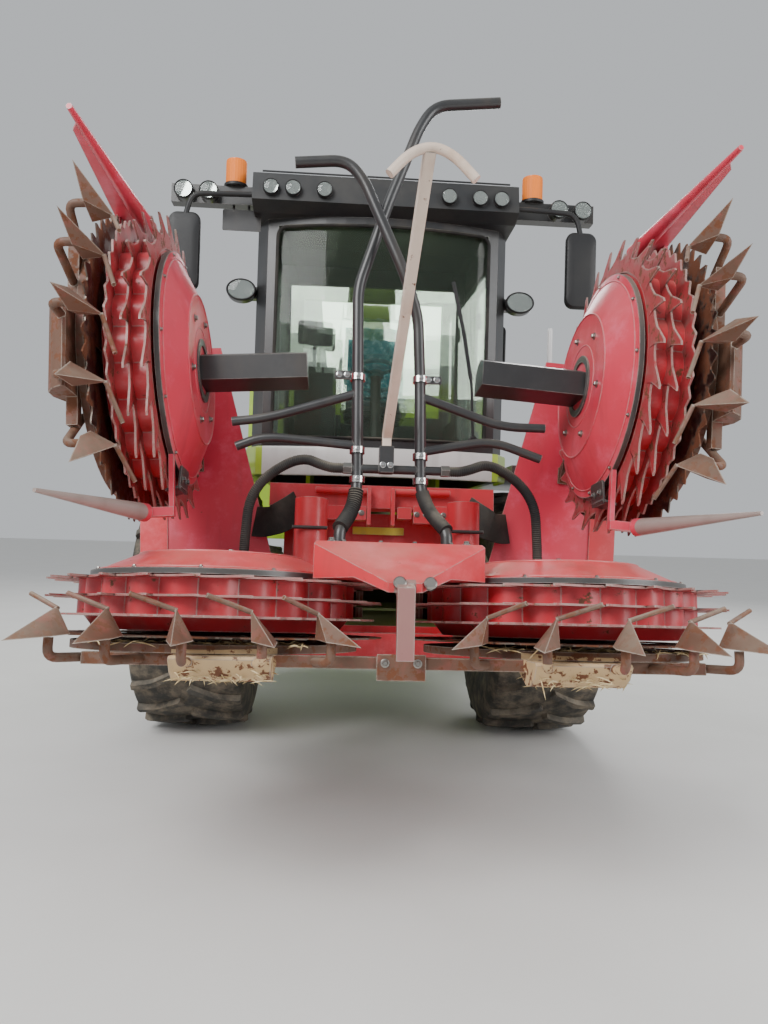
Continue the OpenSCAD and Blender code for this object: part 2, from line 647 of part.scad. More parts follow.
// Bright handrails beside the ladder
module handrails() for (x = [1090, 1470])
    translate([x, -1120, deck_z + 50]) {
        cylinder(r = 17, h = 900);
        translate([0, 0, 900]) sphere(r = 17);
    }

// Engine cover with a sloping top, open at the sides for the flaps and at the rear for the grille
panel_y0 = body_front_y + 280;
panel_y1 = body_rear_y - 450;
panel_z0 = body_z + 100;
panel_z1 = body_z + body_rear_h - 60;
function body_side(i) = [
    [body_front_y + i, body_z + i], [body_rear_y - i, body_z + i], [body_rear_y - i, body_z + body_rear_h - i],
    [body_front_y + 1000, body_z + body_front_h - i], [body_front_y + i, body_z + body_front_h - i]
];
module rear_body() color("#b9cf3a") at_base() difference() {
    side_profile(body_side(0), -body_half_w, body_half_w);
    side_profile(body_side(body_wall), -body_half_w + body_wall, body_half_w - body_wall);
    block([-2000, panel_y0, panel_z0], [2000, panel_y1, panel_z1]);
    block([-900, body_rear_y - 100, body_z + 200], [900, body_rear_y + 100, body_z + body_rear_h - 200]);
}

// Service flap with a hinge rod along its top edge
module side_panel(side) color("#b9cf3a") at_base() on_side(side) {
    block([body_half_w - body_wall, panel_y0 + 6, panel_z0 + 6], [body_half_w, panel_y1 - 6, panel_z1 - 22]);
    translate([body_half_w - 12, 0, panel_z1 - 12 - seat_gap]) rod_y(12, panel_y0 + seat_gap, panel_y1 - seat_gap);
}

// The engine as one plain block on the cover's floor
module engine_block() color("#6b6b66") at_base()
    block([-620, wheelbase - 700, body_floor_top + seat_gap], [620, wheelbase + 650, body_floor_top + 820]);

// Hollow feeder duct from the pivot to the header's frame, with its pivot stubs and cylinder lugs
module feeder_house() color("#7d8f35") {
    difference() {
        at_base() union() {
            block([-feeder_w / 2, -1750, pivot_z - feeder_h / 2], [feeder_w / 2, pivot_y, pivot_z + feeder_h / 2]);
            translate([0, pivot_y, pivot_z]) rod_x(feeder_h / 2, -feeder_w / 2, feeder_w / 2);
        }
        at_base() block([-mouth_half, -1900, pivot_z - feeder_h / 2 + feeder_t], [mouth_half, pivot_y + feeder_h, pivot_z + feeder_h / 2 - feeder_t]);
        at_header() block([-600, -300, -600], [600, frame_back + seat_gap, 1200]);
    }
    at_base() for (side = [-1, 1]) on_side(side) {
        translate([0, pivot_y, pivot_z]) rod_x(pin_r * 2, mouth_half, housing_half);
        for (dx = [-62, 37])
            block([lift_x + dx, lift_eye_y - 40, lift_eye_z - 35], [lift_x + dx + 25, lift_eye_y + 40, pivot_z - feeder_h / 2]);
    }
}

// Draws its children from the lift cylinder's foot, with +X along the cylinder
module along_lift() at_base() translate([0, lift_anchor_y, lift_anchor_z]) rotate([-lift_angle, 0, 0]) mirror([0, 1, 0]) children();

module lift_barrels() color("#3b3d3f") along_lift() for (side = [-1, 1]) on_side(side) translate([lift_x, 0, 0]) difference() {
    union() {
        rod_x(42, -30, 30);
        block([-28, 0, -30], [28, 80, 30]);
        rod_y(cylinder_r, 70, 760);
    }
    rod_x(pin_r + pin_gap, -40, 40);
    rod_y(26 + pin_gap, 200, 800);
}

module lift_rods() color("#c9ccce") along_lift() for (side = [-1, 1]) on_side(side) translate([lift_x, 0, 0]) {
    rod_y(26, 500, lift_len - 20);
    translate([0, lift_len, 0]) rod_x(34, -32, 32);
}

// Header frame: low cross-beam with the fold hinges' ears, uprights, mouth plate and top beam
module header_frame() color("#b02e3c") at_header() {
    difference() {
        union() {
            block([-1040, frame_front, frame_z0], [1040, frame_back, 0]);
            block([-560, frame_back - 20, -10], [560, frame_back, 690]);
            for (side = [-1, 1]) on_side(side) {
                block([430, frame_front + 40, 0], [500, frame_back, frame_top_z]);
                for (y = [frame_front, frame_back - 30]) {
                    block([980, y, -100], [fold_x, y + 30, fold_z]);
                    translate([fold_x, 0, fold_z]) rod_y(60, y, y + 30);
                }
            }
            block([-640, frame_front, frame_top_z - 130], [640, frame_back - 40, frame_top_z]);
        }
        block([-mouth_half, frame_front - 10, mouth_z0], [mouth_half, frame_back + 10, mouth_z1]);
        for (side = [-1, 1]) on_side(side)
            translate([fold_x, 0, fold_z]) rod_y(fold_pin_r + pin_gap, frame_front - 10, frame_back + 10);
    }
    for (side = [-1, 1]) on_side(side)
        translate([fold_anchor_x, 0, fold_anchor_z]) rod_y(pin_r, frame_back, fold_y + 35);
}

// One pointed tip on a drum's front edge with its foot pipe and guide rod
module tip(out) {
    intersection() {
        linear_extrude(200, center = true) polygon([
            [tip_base_r, -tip_w / 2], [tip_base_r + 40, -tip_w / 2], [tip_nose_r, 0],
            [tip_base_r + 40, tip_w / 2], [tip_base_r, tip_w / 2]
        ]);
        rotate([90, 0, 0]) linear_extrude(200, center = true) polygon([
            [tip_base_r, -5], [tip_nose_r, -5], [tip_nose_r, 5], [tip_base_r, 90]
        ]);
    }
    translate([tip_base_r + 50, 0, pan_rim_z - 22]) cylinder(r = 17, h = -pan_rim_z + 22);
    rotate([0, 90, 0]) translate([-pan_rim_z + 22, 0, pan_r - 60]) cylinder(r = 17, h = tip_base_r - pan_r + 127);
    translate([tip_base_r + 20, 0, 66]) rotate([0, 0, out * 78]) rotate([0, 84, 0]) cylinder(r = rod_r, h = 230);
}

// Pan, rim, post, tips and shoe of one drum, round the drum's own axis, with the neck back to the frame
module drum_base(back) {
    translate([0, 0, pan_z - 12]) cylinder(r = pan_r, h = 12);
    difference() {
        translate([0, 0, pan_rim_z]) cylinder(r = pan_r, h = pan_z - pan_rim_z);
        translate([0, 0, pan_rim_z - 1]) cylinder(r = pan_r - 12, h = pan_z - pan_rim_z + 2);
    }
    block([-290, 0, pan_z - 12], [290, back, pan_z]);
    block([-290, 300, pan_rim_z], [-270, back, pan_z]);
    block([270, 300, pan_rim_z], [290, back, pan_z]);
    translate([0, 0, pan_z - 6]) cylinder(r = post_r, h = cap_top - sheet - seat_gap - pan_z + 6);
    for (i = [0:tip_count - 1]) let (a = (i - (tip_count - 1) / 2) * tip_step)
        rotate([0, 0, a - 90]) tip(a < 0 ? -1 : 1);
    side_profile([
        [bar_y - 120, pan_rim_z - 15], [bar_y + 200, pan_rim_z], [bar_y + 200, pan_rim_z - 15],
        [bar_y, pan_rim_z - 110], [bar_y - 90, pan_rim_z - 70]
    ], -175, 175);
}

// Everything under the two centre drums, and the square bar that joins their pans
module centre_base() color("#8a6a50") at_header() {
    for (side = [-1, 1]) on_side(side) translate([drum_x, 0, 0]) drum_base(frame_front);
    block([-drum_x - 400, bar_y, pan_rim_z - bar_h], [drum_x + 400, bar_y + bar_h, pan_rim_z]);
    block([-90, bar_y - 8, pan_rim_z - bar_h - 40], [90, bar_y, pan_rim_z + 10]);
}

// Sheet-metal cap over a drum: flat ring, cone and lid
module cap() rotate_extrude() polygon([
    [0, cap_top], [350, cap_top], [510, cap_z + 28], [cap_r, cap_z + 23], [cap_r, cap_z],
    [cap_r - sheet, cap_z], [cap_r - sheet, cap_z + 23 - sheet], [505, cap_z + 28 - sheet],
    [346, cap_top - sheet], [0, cap_top - sheet]
]);

// The two caps, the bridge between them, the hood over the gap, the snout and the crop cylinders
module centre_cover() color("#c8404f") at_header() {
    for (side = [-1, 1]) on_side(side) {
        translate([drum_x, 0, 0]) cap();
        translate([384, 390, cap_z + 8]) cylinder(r = 82, h = 665 - cap_z - 8);
    }
    difference() {
        block([-320, -400, cap_z], [320, 400, cap_z + 15]);
        for (side = [-1, 1]) on_side(side) translate([drum_x, 0, cap_z - 1]) cylinder(r = cap_r - 2, h = 20);
    }
    side_profile([
        [-600, 175], [-650, 205], [-735, 180], [-722, -74], [-700, -74], [-672, 150]
    ], -31, 31);
    intersection() {
        side_profile([[-240, cap_z], [-240, 380], [-400, 372], [-670, 200], [-670, 165], [-560, cap_z]], -340, 340);
        translate([0, 0, -100]) linear_extrude(600) polygon([
            [-260, -235], [260, -235], [338, -420], [50, -680], [-50, -680], [-338, -420]
        ]);
    }
}

// Toothed drum: closed body between its rings, hollow, turning on the post
drum_z0 = 10;
module drum_shape() {
    rotate_extrude() polygon([
        [post_r + pin_gap, drum_z0], [disc_r - 140, drum_z0], [drum_r, 60], [disc_r, 61], [disc_r, 69], [drum_r + 12, 70],
        [drum_r + 12, 134], [disc_r, 134], [disc_r, 142], [drum_r + 12, 143], [drum_r, 206],
        [disc_r, drum_top - 8], [disc_r, drum_top], [post_r + pin_gap, drum_top],
        [post_r + pin_gap, drum_top - sheet], [drum_r - sheet, drum_top - sheet], [drum_r - sheet, 60],
        [disc_r - 145, drum_z0 + sheet], [post_r + pin_gap, drum_z0 + sheet]
    ]);
}

// Saw disc with its hub plate, turning under the drum
module saw_shape() rotate_extrude() polygon([
    [post_r + pin_gap, -30], [300, -30], [300, -12], [disc_r, -12], [disc_r, -6], [post_r + pin_gap, -6]
]);

module centre_drum(side) color("#a3303e") at_header() on_side(side) translate([drum_x, 0, 0]) drum_shape();
module centre_saw(side) color("#8d8a85") at_header() on_side(side) translate([drum_x, 0, 0]) saw_shape();
module wing_drum(side) color("#a3303e") at_wing(side) translate([wing_x, wing_y, 0]) drum_shape();
module wing_saw(side) color("#8d8a85") at_wing(side) translate([wing_x, wing_y, 0]) saw_shape();

// Pan, tips and beam of a wing, with the fold hinge's barrel and pin and the dividers
module wing_base(side) color("#8a6a50") at_wing(side) {
    translate([wing_x, wing_y, 0]) drum_base(frame_front - wing_y);
    block([wing_x - 400, wing_y + bar_y, pan_rim_z - bar_h], [wing_x + 400, wing_y + bar_y + bar_h, pan_rim_z]);
    block([fold_x + 65, frame_front, frame_z0], [wing_x + 400, frame_back, 0]);
    translate([fold_x, 0, fold_z]) {
        rod_y(fold_pin_r, frame_front, frame_back);
        rod_y(55, frame_front + 32, frame_back - 32);
    }
    block([fold_x, frame_front + 32, fold_z - 110], [fold_x + 80, frame_back - 32, fold_z - 10]);
    fold_lug();
}

// Two cheeks behind the wing's beam, round the eye of the fold cylinder's rod
fold_eye_half = 23;
lug_play = 4;
module fold_lug() {
    eye = [fold_x, fold_z] + polar(fold_lug_r, 133 - fold_angle);
    near = fold_y - fold_eye_half - lug_play;
    far = fold_y + fold_eye_half + lug_play;
    foot = [[fold_x + 270, frame_z0 + 20], [fold_x + 80, frame_z0 + 20]];
    for (y = [[frame_back - 10, near], [far, far + 14]])
        front_profile(concat(foot, arc(eye, 42, 190, -10, 8)), y[0], y[1]);
    block([foot[1][0], near - 1, foot[1][1]], [foot[0][0], far + 1, eye[1] - 140]);
}

// Cap, shield and divider cones of a wing
module wing_cover(side) color("#d0506a") at_wing(side) {
    translate([wing_x, wing_y, 0]) cap();
    front_profile([[fold_x + 270, 0], [wing_x + 390, 0], [wing_x + 390, 310], [fold_x + 270, 580]], frame_front + 8, frame_front + 8 + sheet);
    difference() {
        union() {
            translate([divider_x, wing_y + 60, 60]) rotate([90 + 5, 0, 0]) cylinder(r1 = 42, r2 = 12, h = 900);
            side_profile([
                [wing_y + 60, 60], [wing_y - 760, -12], [wing_y - 700, -50], [wing_y - 60, pan_rim_z], [wing_y + 60, pan_rim_z]
            ], divider_x - 5, divider_x + 5);
            block([wing_x + pan_r - 60, wing_y - 60, pan_rim_z], [divider_x, wing_y + 60, pan_rim_z + 20]);
        }
        translate([wing_x, wing_y, -200]) cylinder(r = pan_r + seat_gap, h = 400);
    }
    cone_y = -140;
    translate([wing_x - 715, cone_y, 0]) {
        translate([0, 0, 122]) rotate([90 + 20.6, 0, 0]) cylinder(r1 = 40, r2 = 8, h = 640);
        block([-20, -10, 110], [20, 30, cap_z + 23]);
    }
    difference() {
        block([wing_x - 735, cone_y, cap_z + 1], [wing_x - 400, cone_y + 30, cap_z + 22]);
        translate([wing_x, wing_y, 0]) cylinder(r = cap_r - 5, h = 400);
    }
}

module wing_arm(side) color("#1d1e20") at_wing(side) translate([wing_x, wing_y, cap_top + seat_gap])
    linear_extrude(arm_len) polygon([[-75, -100], [40, -100], [75, -20], [75, 60], [40, 100], [-75, 100]]);

// Bent push tubes in front of the feeder, their cross tube, brackets and side guards
module push_bars() color("#1b1c1e") at_header() {
    for (side = [-1, 1]) on_side(side)
        block([105, -165, cap_z + 15], [165, -115, 420]);
    translate([0, -140, 720]) rod_x(20, -230, 230);
    tube_along(bent([[134, -140, 400], [134, -140, 1330], [-45, -140, 1740], [-126, -140, 1970], [-170, -140, 2000], [-403, -140, 2000]], 70), 25, ref = [0, 1, 0.01]);
    tube_along(bent([[-134, -140, 400], [-134, -140, 1420], [-50, -200, 1650], [88, -220, 2020], [181, -220, 2245], [260, -220, 2275], [484, -220, 2280]], 70), 25, ref = [0, 1, 0.01]);
}

// Square post with a drooping cross tube, leaning forward from the hood
module gauge_post() color("#d8c9bd") at_header() {
    block([-50, -230, cap_z + 15], [50, -170, 400]);
    tube_along([[0, -190, 380], [0, -190, 820], [80, -1140, 1470]], 24, 4, ref = [1, 0, 0.01]);
}

module hose(side) color("#17181a") at_header() on_side(side) tube_along(bent(hose_route, 60), hose_r);

// Draws its children from a fold cylinder's foot, with +X along the cylinder
fold_eye = [fold_x, fold_z] + polar(fold_lug_r, 133);
fold_len = norm(fold_eye - [fold_anchor_x, fold_anchor_z]);
fold_cyl_angle = atan2(fold_eye[1] - fold_anchor_z, fold_eye[0] - fold_anchor_x);
module along_fold(side) at_header() on_side(side) translate([fold_anchor_x, fold_y, fold_anchor_z]) rotate([0, -fold_cyl_angle, 0]) children();

module fold_barrel(side) color("#3b3d3f") along_fold(side) difference() {
    union() {
        rod_y(38, -25, 25);
        rod_x(35, 25, 330);
    }
    rod_y(pin_r + pin_gap, -30, 30);
    rod_x(20 + pin_gap, 150, 400);
}

module fold_rod(side) color("#c9ccce") along_fold(side) {
    rod_x(20, 160, fold_len - 20);
    translate([fold_len, 0, 0]) rod_y(30, -fold_eye_half, fold_eye_half);
}

chassis();
front_axle();
rear_axle();
knuckle(1);  // knuckle_left
knuckle(-1);  // knuckle_right
front_tyre(1);  // front_tyre_left
front_tyre(-1);  // front_tyre_right
front_rim(1);  // front_rim_left
front_rim(-1);  // front_rim_right
rear_tyre(1);  // rear_tyre_left
rear_tyre(-1);  // rear_tyre_right
rear_rim(1);  // rear_rim_left
rear_rim(-1);  // rear_rim_right
chopper_housing();
spout_base();
spout_collar();
spout();
spout_flap();
cab_frame();
cab_glass();
cab_roof();
cab_door();
door_glass();
seat();
controls();
lights();
mirrors();
platform();
rear_body();
side_panel(1);  // side_panel_left
side_panel(-1);  // side_panel_right
engine_block();
feeder_house();
lift_barrels();
lift_rods();
header_frame();
centre_base();
centre_cover();
push_bars();
gauge_post();
hose(1);  // hose_left
hose(-1);  // hose_right
centre_drum(1);  // drum_left
centre_drum(-1);  // drum_right
centre_saw(1);  // saw_left
centre_saw(-1);  // saw_right
wing_drum(1);  // wing_drum_left
wing_drum(-1);  // wing_drum_right
wing_saw(1);  // wing_saw_left
wing_saw(-1);  // wing_saw_right
wing_base(1);  // wing_base_left
wing_base(-1);  // wing_base_right
wing_cover(1);  // wing_cover_left
wing_cover(-1);  // wing_cover_right
wing_arm(1);  // wing_arm_left
wing_arm(-1);  // wing_arm_right
fold_barrel(1);  // fold_barrel_left
fold_barrel(-1);  // fold_barrel_right
fold_rod(1);  // fold_rod_left
fold_rod(-1);  // fold_rod_right
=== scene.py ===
# %% [markdown]
# # A forage harvester with its maize header folded
# The frame holds every solid at its real size. This lesson gives each surface its finish, adds the
# small parts that make the machine believable, and looks at it from where the photograph was taken.
# The machine is parked indoors: dusty, its red header faded by sun and worn bright where maize rubs.

# %% Load the frame
import math
import bmesh
import bpy
import numpy as np
from mathutils import Matrix, Vector


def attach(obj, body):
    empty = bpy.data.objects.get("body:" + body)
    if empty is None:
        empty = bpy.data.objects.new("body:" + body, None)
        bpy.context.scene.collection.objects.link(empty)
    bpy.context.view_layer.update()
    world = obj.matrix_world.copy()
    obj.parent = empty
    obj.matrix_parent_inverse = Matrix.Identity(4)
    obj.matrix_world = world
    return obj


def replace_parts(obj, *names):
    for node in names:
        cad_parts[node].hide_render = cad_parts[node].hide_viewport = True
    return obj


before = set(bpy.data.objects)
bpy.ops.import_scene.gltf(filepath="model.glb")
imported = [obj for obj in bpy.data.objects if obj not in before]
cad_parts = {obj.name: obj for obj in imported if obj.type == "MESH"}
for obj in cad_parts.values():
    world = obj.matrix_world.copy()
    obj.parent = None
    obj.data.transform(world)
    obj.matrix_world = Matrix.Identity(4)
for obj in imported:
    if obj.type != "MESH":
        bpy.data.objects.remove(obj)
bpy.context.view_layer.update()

# %% [markdown]
# ## The camera
# The photograph was taken by a person close in front of the header, with a wide lens held at chest
# height. Its focal length is worked out in pixels, and the lens in millimetres follows from the
# 36 mm that Blender takes for the longer side of the picture.

# %% Camera
PICTURE_HEIGHT_PX = 1024
FOCAL_PX = 750
SENSOR_MM = 36
CAMERA_PLACE = (-0.243, -6.13, 1.5)
CAMERA_YAW, CAMERA_PITCH, CAMERA_ROLL = 3.4, 1.5, 1.7


def turn(axis, degrees):
    """A 4x4 rotation about one axis, the angle in degrees."""
    return Matrix.Rotation(math.radians(degrees), 4, axis)


def new_object(name, data):
    """An object of some data, put into the scene."""
    thing = bpy.data.objects.new(name, data)
    bpy.context.scene.collection.objects.link(thing)
    return thing


camera_data = bpy.data.cameras.new("camera")
camera_data.lens = FOCAL_PX / PICTURE_HEIGHT_PX * SENSOR_MM
camera_data.clip_end = 200
camera = new_object("camera", camera_data)
camera.matrix_world = (
    Matrix.Translation(CAMERA_PLACE) @ turn("Z", -CAMERA_YAW)
    @ turn("X", 90 + CAMERA_PITCH) @ turn("Z", CAMERA_ROLL)
)
bpy.context.scene.camera = camera
print("lens", round(camera_data.lens, 2), "mm")

# %% [markdown]
# ## Places on the machine
# The machine's own sizes are simplest from the middle of its front axle, the header's from the point
# between its two centre drums, and a wing's as if it were lowered. Three functions turn such places
# into the frame's, so that every later piece can be written where a fitter would measure it.


# %% Places on the machine
AXLE_Y = -0.23
HEADER_Y, HEADER_Z, HEADER_TILT = -2.58, 1.04, math.radians(6.9)
FOLD_X, FOLD_Z, FOLD_ANGLE = 1.1, 0.06, math.radians(86)
SIDES = ((1, "left"), (-1, "right"))


def on_base(points):
    """Machine sizes from the front axle, moved along Y to the frame's origin."""
    return np.asarray(points, float) + [0.0, AXLE_Y, 0.0]


def on_header(points):
    """Header sizes tipped about X, (y cos t + z sin t, z cos t - y sin t), then set ahead of the axle."""
    x, y, z = np.moveaxis(np.asarray(points, float), -1, 0)
    cosine, sine = math.cos(HEADER_TILT), math.sin(HEADER_TILT)
    return on_base(np.stack([x, HEADER_Y + y * cosine + z * sine, HEADER_Z + z * cosine - y * sine], axis=-1))


def on_wing(side):
    """A function for one wing: lowered sizes turned up about the fold hinge, and mirrored on the right."""
    def place(points):
        x, y, z = np.moveaxis(np.asarray(points, float), -1, 0)
        cosine, sine = math.cos(FOLD_ANGLE), math.sin(FOLD_ANGLE)
        out, up = x - FOLD_X, z - FOLD_Z
        folded = [side * (FOLD_X + out * cosine - up * sine), y, FOLD_Z + out * sine + up * cosine]
        return on_header(np.stack(folded, axis=-1))
    return place


print("the header's origin is at", on_header([0, 0, 0]).round(3))

# %% [markdown]
# ## Surfaces from grids
# Most small parts are turned, bent from tube or cut from plate. Each is worked out as a grid of points,
# one ring per row, and one helper joins the rings into a closed mesh. A ring that has shrunk to its own
# middle closes an end, so that nothing shows an open edge.


# %% Surfaces from grids
def shut(grid):
    """The rings of a grid with one more ring at each end, shrunk to the end ring's middle."""
    first = np.broadcast_to(grid[:1].mean(axis=1, keepdims=True), grid[:1].shape)
    last = np.broadcast_to(grid[-1:].mean(axis=1, keepdims=True), grid[-1:].shape)
    return np.concatenate([first, grid, last])


def quads(rows, columns, first, wrap):
    """Corner numbers of the quads between neighbour rings; wrap joins the last row to the first."""
    row, column = np.meshgrid(np.arange(rows if wrap else rows - 1), np.arange(columns), indexing="ij")
    corner = [(row + a) % rows * columns + (column + b) % columns
              for a, b in ((0, 0), (0, 1), (1, 1), (1, 0))]
    return first + np.stack(corner, axis=-1).reshape(-1, 4)


def points_of(x, y, z):
    """Points from three coordinates, each of them one number or a row of numbers."""
    return np.stack(np.broadcast_arrays(x, y, z), axis=-1).astype(float)


def on_circle(angle):
    """Points of the unit circle, (cos a, sin a)."""
    return np.stack([np.cos(angle), np.sin(angle)], axis=-1)


def at_levels(*rings):
    """Flat outlines as the rings of a grid, each with its level."""
    return np.stack([np.column_stack([ring, np.full(len(ring), level)]) for ring, level in rings])


def make_piece(name, grids, material, body="base", place=None, loops=False, crease=35):
    """One object from grids of rings, put in place by a function: header sizes for a piece on the header,
    machine sizes for the rest, unless another is given. Ends are shut, or loops join end to start."""
    place = place or (on_header if body == "header" else on_base)
    points, faces, first = [], [], 0
    for grid in grids:
        grid = place(grid) if loops else shut(place(grid))
        faces.append(quads(*grid.shape[:2], first, loops))
        points.append(grid.reshape(-1, 3))
        first += len(points[-1])
    mesh = bpy.data.meshes.new(name)
    mesh.from_pydata(np.concatenate(points).tolist(), [], np.concatenate(faces).tolist())
    shell = bmesh.new()
    shell.from_mesh(mesh)
    bmesh.ops.remove_doubles(shell, verts=shell.verts, dist=1e-6)
    bmesh.ops.recalc_face_normals(shell, faces=shell.faces)
    shell.to_mesh(mesh)
    shell.free()
    mesh.shade_smooth()
    mesh.set_sharp_from_angle(angle=math.radians(crease))
    if material:
        mesh.materials.append(material)
    piece = new_object(name, mesh)
    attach(piece, body)
    return piece


def unit(vector):
    """A vector, or each vector of an array, divided by its length."""
    vector = np.asarray(vector, float)
    return vector / np.linalg.norm(vector, axis=-1, keepdims=True)


def around(axis, columns):
    """Directions square to an axis: cos a * u + sin a * v for evenly spaced angles a."""
    along = unit(axis)
    u = unit(np.cross(along, [0.0, 0.0, 1.0] if abs(along[2]) < 0.9 else [0.0, 1.0, 0.0]))
    angle = np.linspace(0, 2 * np.pi, columns, endpoint=False)[:, None]
    return np.cos(angle) * u + np.sin(angle) * np.cross(along, u)


def lathe(profile, centre, axis=(0, 0, 1), columns=32):
    """A profile of (radius, height) turned round an axis: centre + height * axis + radius * direction."""
    profile = np.asarray(profile, float)[:, None]
    radius, height = profile[..., :1], profile[..., 1:]
    return np.asarray(centre, float) + height * unit(axis) + radius * around(axis, columns)


def bolt(place, axis, size):
    """A hexagonal head on a round washer: turned profiles of 6 and 14 sides, size the head's radius."""
    washer = [(1.5 * size, -0.1 * size), (1.5 * size, 0.2 * size), (1.3 * size, 0.28 * size)]
    head = [(size, 0.2 * size), (size, 1.0 * size), (0.8 * size, 1.25 * size)]
    return [lathe(washer, place, axis, 14), lathe(head, place, axis, 6)]


def bolts(places, axis, size):
    """A bolt at each of some places."""
    return [grid for place in places for grid in bolt(place, axis, size)]


def hoop(radius, thick, centre, axis=(0, 0, 1), columns=48):
    """A ring of round section: a small circle (radius + t cos b, t sin b) turned round an axis."""
    b = np.linspace(0, 2 * np.pi, 10, endpoint=False)
    return lathe(np.stack([radius + thick * np.cos(b), thick * np.sin(b)], axis=1), centre, axis, columns)


def pipe(path, radius, columns=14, closed=False):
    """A tube along a path: each point plus the radius times cos a * u + sin a * v, square to the path."""
    path = np.asarray(path, float)
    along = np.roll(path, -1, axis=0) - np.roll(path, 1, axis=0) if closed else np.gradient(path, axis=0)
    along = unit(along)
    u = unit(np.cross(along, np.eye(3)[np.abs(along).mean(axis=0).argmin()] + [0.01, 0.013, 0.007]))
    angle = np.linspace(0, 2 * np.pi, columns, endpoint=False)[None, :, None]
    ring = np.cos(angle) * u[:, None] + np.sin(angle) * np.cross(along, u)[:, None]
    return path[:, None] + np.broadcast_to(radius, len(path))[:, None, None] * ring


def rounded_outline(width, height, corner, steps=5):
    """Points round a rectangle about its middle, each corner a quarter circle of radius corner."""
    angle = np.radians(np.linspace(0, 90, steps)[None] + np.arange(4)[:, None] * 90)
    middle = np.array([[1, 1], [-1, 1], [-1, -1], [1, -1]]) * [width / 2 - corner, height / 2 - corner]
    return (middle[:, None] + corner * on_circle(angle)).reshape(-1, 2)


def slab(outline, thickness, centre, across=(1, 0, 0), up=(0, 0, 1), edge=0.0015):
    """A flat plate: its outline at both faces, drawn in by the edge, and full size just inside them."""
    across, up = unit(across), unit(up)
    outline = np.asarray(outline, float)
    small = outline * (1 - edge / np.abs(outline).max(axis=0))
    half = thickness / 2
    rings = [(small, -half), (outline, edge - half), (outline, half - edge), (small, half)]
    return np.stack([np.asarray(centre) + ring @ np.stack([across, up]) + level * np.cross(across, up)
                     for ring, level in rings])


def plate(width, height, corner, thickness, centre, across=(1, 0, 0), up=(0, 0, 1)):
    """A slab whose outline is a rectangle with rounded corners."""
    return slab(rounded_outline(width, height, corner), thickness, centre, across, up)


def bent_route(corners, reach, steps=6):
    """A route whose corners b are rounded by a (1 - t)^2 + 2 b t (1 - t) + c t^2. The points a and c lie the
    reach, or half the stretch where that is less, before and after the corner."""
    corners = np.asarray(corners, float)
    stretch = np.linalg.norm(np.diff(corners, axis=0), axis=1, keepdims=True)
    step = np.diff(corners, axis=0) * np.minimum(reach / stretch, 0.5)
    middle = corners[1:-1, None]
    t = np.linspace(0, 1, steps)[None, :, None]
    first, last = middle - step[:-1, None], middle + step[1:, None]
    bend = first * (1 - t) ** 2 + middle * 2 * t * (1 - t) + last * t ** 2
    route = np.vstack([corners[:1], bend.reshape(-1, 3), corners[-1:]])
    apart = np.linalg.norm(np.diff(route, axis=0), axis=1) > 1e-6
    return route[np.concatenate([[True], apart])]


def resampled(path, count):
    """A path with evenly spaced points, found by walking along its length."""
    walked = np.concatenate([[0], np.cumsum(np.linalg.norm(np.diff(path, axis=0), axis=1))])
    at = np.linspace(0, walked[-1], count)
    return np.stack([np.interp(at, walked, path[:, k]) for k in range(3)], axis=1), walked[-1]


print("a test ring has", hoop(1, 0.1, (0, 0, 0)).shape, "points")

# %% [markdown]
# ## The two hoses
# Two thick oil hoses leave the ends of the black cross tube, bow outwards and go down to the caps. Each
# lies in a ribbed guard, which bends without a kink.

# %% Hoses
HOSE_DIAMETER = 0.044
RIB_PITCH = 0.009
HOSE_ROUTE = [(0.2303, -0.14, 0.72), (0.3, -0.14, 0.72), (0.43, -0.1, 0.78), (0.64, -0.04, 0.64),
              (0.66, 0, 0.405), (0.66, 0, 0.3253)]
hoses = []
for name, side in (("hose_left", 1), ("hose_right", -1)):
    walked = on_header(bent_route(HOSE_ROUTE, 0.14, 12) * [side, 1, 1])
    rib_count = round(np.linalg.norm(np.diff(walked, axis=0), axis=1).sum() / RIB_PITCH)
    path, length = resampled(walked, rib_count * 4 + 1)
    ribbed = HOSE_DIAMETER / 2 - 0.0014 * np.cos(np.arange(len(path)) * np.pi / 2)
    hose = make_piece(name.replace("hose", "ribbed_hose"), [pipe(path, ribbed)], None, "header",
                      np.asarray, crease=70)
    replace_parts(hose, name)
    hoses.append(hose)
    print(name, "is", round(length, 3), "m long")

# %% [markdown]
# ## Shading helpers
# A finish is a small network of nodes. Short helpers keep it readable: one adds a node and sets its
# values, one starts a material, one turns screen colours into the linear values that light adds up
# in, and the others are steps that recur: a mix, a sum, noise, a bump.


# %% Shading helpers
def linear(red, green, blue):
    """Linear colour of a screen colour in 0 to 255: ((c + 0.055) / 1.055) to the power 2.4."""
    c = np.array([red, green, blue]) / 255
    low, high = c / 12.92, ((c + 0.055) / 1.055) ** 2.4
    return (*np.where(c < 0.04045, low, high).tolist(), 1.0)


def add(tree, kind, inputs=None, **settings):
    """A node of one kind, with its settings, and its inputs given as values or as links."""
    node = tree.nodes.new("ShaderNode" + kind)
    for key, value in settings.items():
        setattr(node, key, value)
    for key, value in (inputs or {}).items():
        if isinstance(value, bpy.types.NodeSocket):
            tree.links.new(value, node.inputs[key])
        else:
            node.inputs[key].default_value = value
    return node


